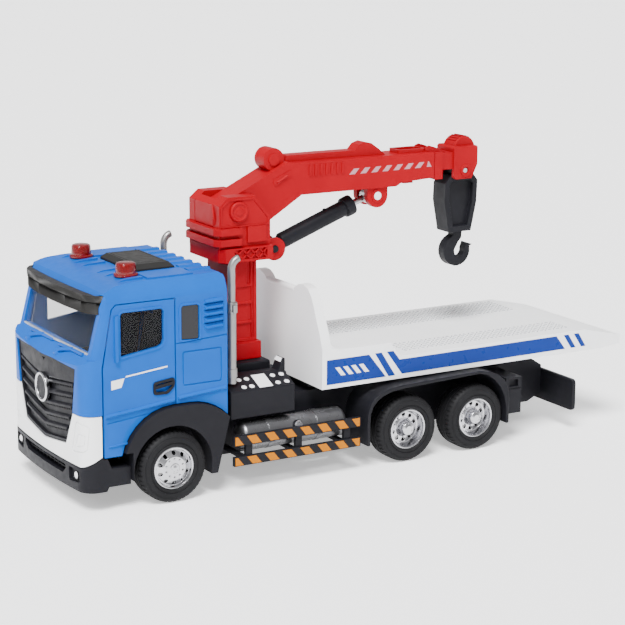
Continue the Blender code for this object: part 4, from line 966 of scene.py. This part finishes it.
def box_parts(side, label):
    """A side box with the prints on its sloped lid and its white tab."""
    at = Span("side_box_left")
    box = whole(f"side_box_{label}", "black_plastic", "truck", 0.5, segments=3)
    length = at.y1 - at.y0
    patches = []
    for share in DOT_ROWS:
        for t in (0.24, 0.72):
            y = at.y0 + length * share
            patches.append(slope_patch([(t + 0.106 * math.sin(a), y + 1.15 * math.cos(a))
                                        for a in (2 * math.pi * k / 24 for k in range(24))]))
    y0, y1 = at.y0 + length * BLANK_FROM, at.y0 + length * BLANK_TO
    patches.append(slope_patch(rounded([(0.08, y0), (0.08, y1), (0.9, y1), (0.9, y0)], 0.04)))
    piece(f"box_print_{label}", sided(both(*patches), side), "white_plastic", "truck", bevel=0,
          finish="print_white").parent = box
    quad = through([[(x, y + dy, z + dz) for x, y, z in BOX_TAB] for dy, dz in ((-0.5, 0.1), (0.3, -0.3))])
    piece(f"box_tab_{label}", sided(quad, side), "white_plastic", "truck", bevel=0.1,
          finish="print_white").parent = box


def slope_patch(outline):
    """A thin printed patch on the sloped lid from (share up the slope, y) points."""
    return through([[on_slope(t, y, lift) for t, y in outline] for lift in (-PRINT_SUNK, PRINT)])


# ---- bed ----

LABEL = [(-17.7, 39.1), (12.3, 39.1), (3.6, 50.0), (-17.7, 50.0)]
LABEL_BARS = [[(y, 42.6), (y + 2.2, 42.6), (y - 0.8, 46.4), (y - 3.0, 46.4)]
              for y in (-10.6, -6.6, -2.6, 1.4)]
SLASH = [(13.7, 39.1), (17.2, 39.1), (10.0, 50.2), (6.6, 50.2)]
LONG_STRIPE = ([(20.7, 39.3), (110.7, 39.6), (105.6, 46.1), (15.86, 45.9)],
               [(15.86, 45.9), (19.4, 45.9), (16.1, 50.2), (12.7, 50.2)])
REAR_SLASHES = ([(114.2, 39.6), (116.9, 39.6), (112.5, 46.1), (109.8, 46.1)],
                [(120.1, 39.6), (122.7, 39.6), (118.4, 46.1), (115.7, 46.1)])
DECK_Z = 47.5
TREAD = ((18.2, 31.6, 27.0, 118.0), (-31.6, -12.0, -8.0, 118.0))
TREAD_STEP = 2.35
HEADBOARD_PANEL = [(2.6, 50.5), (34.0, 50.5), (33.6, 55.0), (31.4, 61.2), (28.6, 67.0), (26.6, 71.8),
                   (24.0, 75.6), (20.6, 77.0), (16.8, 76.7), (14.0, 74.6), (2.6, 73.6)]


def tread_bars():
    """Short raised bars, turned alternately, in two strips along the deck."""
    bars = []
    for x0, x1, y0, y1 in TREAD:
        for i in range(int((x1 - x0) / TREAD_STEP) + 1):
            for j in range(int((y1 - y0) / TREAD_STEP) + 1):
                middle = Vector((x0 + TREAD_STEP * i, y0 + TREAD_STEP * j))
                a = math.radians(45 if (i + j) % 2 else -45)
                along = Vector((math.cos(a), math.sin(a))) * 0.95
                wide = Vector((-math.sin(a), math.cos(a))) * 0.36
                foot = [middle + along, middle + wide, middle - along, middle - wide]
                top = [middle + along * 0.6, middle + wide * 0.5, middle - along * 0.6, middle - wide * 0.5]
                bars.append(through([[(*p, DECK_Z - 0.05) for p in foot], [(*p, DECK_Z + 0.5) for p in top]]))
    return both(*bars)


def bed():
    """The bed with its headboard, tread and printed sides, and the subframe below it."""
    shape = cad("flatbed")
    at = Span("flatbed")
    board = at.y0
    shape = joined(shape, tube([(-12.2, board + 1.2, 76.8), (12.2, board + 1.2, 76.8)], 1.4, 24))
    panel = prism(rounded(HEADBOARD_PANEL, 1.6), "Y", board + 3.3, board + 8.0)
    shape = cut(shape, *[sided(panel, s) for s, _ in SIDES])
    bed_piece = whole("flatbed", "white_plastic", "bed", 0.35, shape)
    # the white tread bars get a grey finish: painted shade of their relief
    piece("deck_tread", tread_bars(), "white_plastic", "bed", bevel=0,
          finish="tread_painted_shade").parent = bed_piece
    blue = both(*[printed(o, at.x1) for o in (LABEL, SLASH, *LONG_STRIPE, *REAR_SLASHES)])
    white = both(*[printed(o, at.x1 + PRINT) for o in LABEL_BARS])
    for side, label in SIDES:
        piece(f"bed_stripes_{label}", sided(blue, side), "white_plastic", "bed", bevel=0,
              finish="print_blue").parent = bed_piece
        piece(f"bed_marks_{label}", sided(white, side), "white_plastic", "bed", bevel=0,
              finish="print_white").parent = bed_piece
    whole("bed_subframe", "black_plastic", "bed_frame", 0.2)


# ---- crane ----

COLUMN_HALF = 12.0
COLUMN_FRONT = -49.6
COLUMN_REAR = -38.2
COLUMN_PANELS = ((57.6, 64.2), (65.2, 72.8), (73.8, 80.4))


def crane_stand():
    """The pedestal, and the column with its sunk panels."""
    whole("crane_pedestal", "black_plastic", "truck", 0.9, segments=3)
    x, y0, y1 = COLUMN_HALF, COLUMN_FRONT, COLUMN_REAR
    panels = []
    for z0, z1 in COLUMN_PANELS:
        panels.append(on_both(block(x - 0.6, x + 1.0, y0 + 1.6, y1 - 2.6, z0, z1)))
        panels.append(block(-x + 2.0, x - 2.0, y1 - 0.6, y1 + 1.0, z0, z1))
        panels.append(block(-x + 2.0, x - 2.0, y0 - 1.0, y0 + 0.6, z0, z1))
    panels.append(on_both(block(x - 0.7, x + 1.0, y1 - 4.8, y1 - 3.0, 81.4, 91.0)))
    panels.append(on_both(block(x - 0.5, x + 1.0, y1 - 2.1, y1 - 1.4, 57.6, 91.0)))
    whole("crane_column", "red_plastic", "truck", 0.3, cut(cad("crane_column"), *panels))


def lattice(x, y0, y1, z0, z1, cells, side):
    """Crossed ribs between two flanges on the turret's base plate."""
    parts = []
    wide = (y1 - y0) / cells
    for k in range(cells):
        a = y0 + k * wide
        for za, zb in ((z0, z1), (z1, z0)):
            run = Vector((wide, zb - za)).normalized()
            across = Vector((-run.y, run.x)) * 0.28
            outline = [(a - across.x, za - across.y), (a + wide - across.x, zb - across.y),
                       (a + wide + across.x, zb + across.y), (a + across.x, za + across.y)]
            parts.append(prism(outline, "X", x - 1.0, x - 0.05))
    return sided(both(*parts), side)


TURRET_EDGE = [(-56.4, 107.2), (-56.4, 115.6), (-52.7, 119.0), (-40.6, 119.0), (-33.5, 110.5),
               (-33.5, 107.2)]


def turret():
    """The turret with its base plate's lattice, raised edges, ridge and pins."""
    at = Span("turret")
    plate_x = at.x1
    half = plate_x - 2.2
    wells = [sided(block(plate_x - 0.8, plate_x + 1.0, -51.0, -35.2, 93.3, 97.6), s) for s, _ in SIDES]
    arch = [(-8.5, 107.0), (8.5, 107.0)] + arc(8.5 - 3.0, 115.0, 3.0, 0, 90, 5)
    arch += arc(-8.5 + 3.0, 115.0, 3.0, 90, 180, 5)
    line = ring_prism(grown(arch, 0.25), grown(arch, -0.25), "Y", at.y0 - 1.0, at.y0 + 2.5)
    house = cut(cad("turret"), *wells, line)
    edge = ring_prism(grown(TURRET_EDGE, 0.15), grown(TURRET_EDGE, -0.55), "X", half - 0.4, half + 0.35)
    house = joined(house, *[sided(edge, s) for s, _ in SIDES])
    body = whole("turret", "red_plastic", "crane_turret", 0.4, house, segments=3)
    for side, label in SIDES:
        piece(f"turret_lattice_{label}", lattice(plate_x, -51.0, -35.2, 93.3, 97.6, 4, side),
              "red_plastic", "crane_turret", bevel=0).parent = body
    ridge = tube([(9.8, -57.1, 108.2), (10.2, -57.6, 110.8), (9.4, -57.6, 113.6), (8.0, -57.2, 116.0)],
                 0.45, 12)
    piece("turret_ridge", ridge, "red_plastic", "crane_turret", bevel=0).parent = body
    pin = Span("boom_pin")
    tip = pin.x1
    r = (pin.z1 - pin.z0) / 2
    ends = [(0.0, 0.0), (0.0, 2.5), (tip - 1.1, 2.5), (tip - 1.1, r), (tip - 0.4, r), (tip, r - 0.45),
            (tip, r - 1.0), (tip - 0.35, r - 1.4), (tip - 0.35, 1.9), (tip - 0.1, 1.6),
            (tip - 0.1, 0.0)]
    shapes = [sided(revolve(ends, "X", (pin.y, pin.z), FINE), s) for s, _ in SIDES]
    whole("boom_pin", "red_plastic", "crane_turret", 0.1, both(*shapes))
    coat("cylinder_base_pin", "black_plastic")


BOOM_HALF = 7.0
BOOM_TOP = 131.2


def boom():
    """The outer boom with its ribs, frames, lugs and printed dashes."""
    half, top = BOOM_HALF, BOOM_TOP
    ribs = [on_both(prism(rectangle(y, y + 1.2, 125.1, 130.0), "X", half - 0.4, half + 0.45))
            for y in (-9.4 + 2.75 * k for k in range(7))]
    knob = [on_both(prism(rounded([(-26.6, 121.6), (-18.0, 126.0), (-18.6, 128.6), (-27.4, 124.4)], 1.3),
                          "X", half - 0.4, half + 0.35)),
            on_both(tube([(half + 0.3, -25.4, 123.4), (half + 0.3, -20.4, 126.0)], 0.5, 12)),
            on_both(rod("X", (-25.4, 133.0), 2.6, 3.6, 4.75))]
    frame_ring = ring_prism(rounded(rectangle(-4.6, 4.6, 38.6, 53.0), 1.8),
                            rounded(rectangle(-3.5, 3.5, 39.7, 51.9), 1.2), "Z", top - 0.6, top + 1.7)
    guard_outline = [(52.3, top - 0.5), (53.0, 133.2), (55.0, 133.9), (58.0, 133.0), (61.5, 131.4),
                     (63.6, 130.4), (63.6, 130.1), (56.2, 130.9)]
    ends = [prism(guard_outline, "X", -4.8, -3.6), prism(guard_outline, "X", 3.6, 4.8)]
    plates = [on_both(prism(rounded(rectangle(39.8, 45.0, 118.0, 119.0), 0.3), "X", 3.0, 6.4)),
              on_both(rod("X", (26.6, 113.4), 3.1, 5.8, 6.25))]
    arm = joined(cad("boom_outer"), *ribs, *knob, frame_ring, *ends, *plates)
    body = whole("boom_outer", "red_plastic", "boom", 0.3, arm)
    dashes = [printed([(y, z), (y + 2.9, z), (y + 5.1, z + 2.5), (y + 2.4, z + 2.5)], half)
              for y, z in ((11.1 + 5.75 * k, 124.2 + 0.06 * k) for k in range(7))]
    dashes.append(printed([(52.0, 124.7), (54.6, 124.7), (53.1, 127.2), (52.7, 127.2)], half))
    for side, label in SIDES:
        piece(f"boom_dashes_{label}", sided(both(*dashes), side), "red_plastic", "boom", bevel=0,
              finish="print_pink").parent = body
    pin = Span("cylinder_rod_pin")
    r = (pin.z1 - pin.z0) / 2
    ends = [(-pin.x1, 0.0), (-pin.x1, r - 0.4), (-pin.x1 + 0.4, r), (pin.x1 - 0.4, r), (pin.x1, r - 0.4),
            (pin.x1, 0.0)]
    piece("rod_pin_moulded", revolve(ends, "X", (pin.y, pin.z), FINE), "white_plastic", "boom",
          ("cylinder_rod_pin",), bevel=0)


def boom_end():
    """The inner boom with the pulley housing at its end."""
    pin = Span("hook_pin")
    rings = on_both(revolve([(6.6, 1.4), (6.6, 3.0), (7.45, 2.8), (7.45, 1.6)], "X", (pin.y, pin.z), ROUND))
    cheeks = []
    for k in range(-3, 4):
        a = math.radians(90 + 16 * k)
        run = Vector((math.cos(a), math.sin(a)))
        side = Vector((-run.y, run.x)) * 0.3
        foot = Vector((74.3 + 4.6 * math.cos(a), 131.6 + 4.6 * math.sin(a)))
        end = foot + run * 1.1
        cheeks.append(prism([foot - side, end - side, end + side, foot + side], "X", -3.6, 3.6))
    hump = on_both(revolve([(3.2, 0.0), (3.2, 5.7), (4.3, 5.7), (4.5, 5.4), (4.5, 0.0)], "X",
                           (74.3, 131.2), FINE))
    inner = joined(cad("boom_inner"), rings, hump)
    tip = whole("boom_inner", "red_plastic", "boom_extension", 0.3, inner)
    piece("pulley_ribs", both(*cheeks), "red_plastic", "boom_extension", bevel=0).parent = tip
    coat("hook_pin", "steel")


def hook_parts():
    whole("hook_block", "black_plastic", "hook_block", 0.55, segments=3)
    whole("hook", "black_plastic", "hook", 0.7, segments=4)


def cylinder():
    """The lifting cylinder's barrel with its collars, and its rod."""
    start, end = (0.0, -25.4, 94.0), (0.0, 26.6, 113.4)
    profile = [(5.6, 0.0), (5.6, 3.1), (6.0, 3.45), (6.6, 3.6), (40.2, 3.6), (40.4, 4.3), (40.8, 4.55),
               (44.2, 4.55), (44.6, 4.2), (44.6, 1.7), (20.0, 1.7), (20.0, 0.0)]
    barrel = joined(cad("cylinder_barrel"), along_line(profile, start, end, FINE))
    bump = along_line([(0.0, 0.0), (0.0, 0.9), (1.1, 0.7), (1.1, 0.0)], (0.0, 2.6, 107.6), (0.0, 2.2, 108.8),
                      20)
    whole("cylinder_barrel", "black_plastic", "lift_barrel", 0.15, joined(barrel, bump))
    coat("cylinder_rod", "steel", 0.15)


# ---- stage, light and camera ----

CAMERA_TARGET = (-5.5, 0.0, 60.67)
CAMERA_DISTANCE = 835.5
CAMERA_AZIMUTH = 59.59
CAMERA_ELEVATION = 12.92
CAMERA_ROLL = 0.27
CAMERA_LENS = 106.8


def stage():
    reach = FLOOR_REACH
    mesh = bpy.data.meshes.new("floor")
    mesh.from_pydata([(-reach, -reach, 0), (reach, -reach, 0), (reach, reach, 0), (-reach, reach, 0)], [],
                     [(0, 1, 2, 3)])
    floor = bpy.data.objects.new("floor", mesh)
    bpy.context.scene.collection.objects.link(floor)
    mesh.materials.append(finish("floor", (0.90, 0.90, 0.905), 0.7, 0.005, 0.02, 0.0, 0.4, 0.1,
                                 {"Emission Color": (1.0, 1.0, 1.0, 1.0),
                                  "Emission Strength": FLOOR_GLOW}))


def aimed(name, data, place, target=(0.0, 0.0, 0.06)):
    """A lamp at a place in metres that looks at the target."""
    lamp = bpy.data.objects.new(name, data)
    lamp.location = place
    lamp.rotation_euler = (Vector(target) - Vector(place)).to_track_quat("-Z", "Y").to_euler()
    bpy.context.scene.collection.objects.link(lamp)


def area_light(name, place, power, size):
    data = bpy.data.lights.new(name, "AREA")
    data.energy = power
    data.size = size
    aimed(name, data, place)


FLOOR_REACH = 15.0    # metres from the middle to each edge
FLOOR_GLOW = 0.5
WORLD_STRENGTH = 1.0
SUN_STRENGTH = 7.5
SUN_WIDTH = 25.0
SUN_AZIMUTH = 48.0
SUN_ELEVATION = 58.0


def light():
    """A pale surrounding, a soft sun from the near front and a small key lamp."""
    world = bpy.data.worlds.new("studio")
    bpy.context.scene.world = world
    world.use_nodes = True
    tree = world.node_tree
    back = tree.nodes["Background"]
    place = tree.nodes.new("ShaderNodeTexCoord")
    split = tree.nodes.new("ShaderNodeSeparateXYZ")
    ramp = tree.nodes.new("ShaderNodeValToRGB")
    stops = ramp.color_ramp.elements
    stops[0].position = 0.0
    stops[0].color = (1.0, 1.0, 1.0, 1.0)
    stops[1].position = 1.0
    stops[1].color = (1.0, 1.0, 1.0, 1.0)
    for at, level in ((0.12, 0.9), (0.4, 0.45), (0.65, 0.6)):
        stop = stops.new(at)
        stop.color = (level, level, level * 1.01, 1.0)
    tree.links.new(place.outputs["Generated"], split.inputs["Vector"])
    tree.links.new(split.outputs["Z"], ramp.inputs["Fac"])
    tree.links.new(ramp.outputs["Color"], back.inputs["Color"])
    back.inputs["Strength"].default_value = WORLD_STRENGTH
    sun = bpy.data.lights.new("sun", "SUN")
    sun.energy = SUN_STRENGTH
    sun.angle = math.radians(SUN_WIDTH)
    a, e = math.radians(SUN_AZIMUTH), math.radians(SUN_ELEVATION)
    aimed("sun", sun, (math.sin(a) * math.cos(e), -math.cos(a) * math.cos(e), math.sin(e)),
          (0.0, 0.0, 0.0))
    area_light("key", (0.55, -0.75, 0.6), 3.0, 0.35)


def camera():
    """The camera, aimed by its azimuth, elevation and roll about a target."""
    azimuth, elevation = math.radians(CAMERA_AZIMUTH), math.radians(CAMERA_ELEVATION)
    back = Vector((math.sin(azimuth) * math.cos(elevation), -math.cos(azimuth) * math.cos(elevation),
                   math.sin(elevation)))
    right = (-back).cross(Vector((0, 0, 1))).normalized()
    up = right.cross(-back)
    roll = math.radians(CAMERA_ROLL)
    across = right * math.cos(roll) + up * math.sin(roll)
    above = up * math.cos(roll) - right * math.sin(roll)
    data = bpy.data.cameras.new("camera")
    data.lens = CAMERA_LENS
    data.sensor_width = 36.0
    data.clip_start = 0.01
    view = bpy.data.objects.new("camera", data)
    turn = Matrix((across, above, back)).transposed().to_4x4()
    spot = (Vector(CAMERA_TARGET) + Vector((0.0, DATUM_Y, 0.0)) + back * CAMERA_DISTANCE) * MM
    view.matrix_world = Matrix.Translation(spot) @ turn
    bpy.context.scene.collection.objects.link(view)
    bpy.context.scene.camera = view


wheels()
cab_shell()
cowl_details()
doors()
grille()
badge()
lamps_and_panel()
visor()
roof()
cab_inside()
exhausts()
underbody()
side_gear()
bed()
crane_stand()
turret()
boom()
boom_end()
hook_parts()
cylinder()
coat("windscreen", "clear_screen", 0)
stage()
light()
camera()
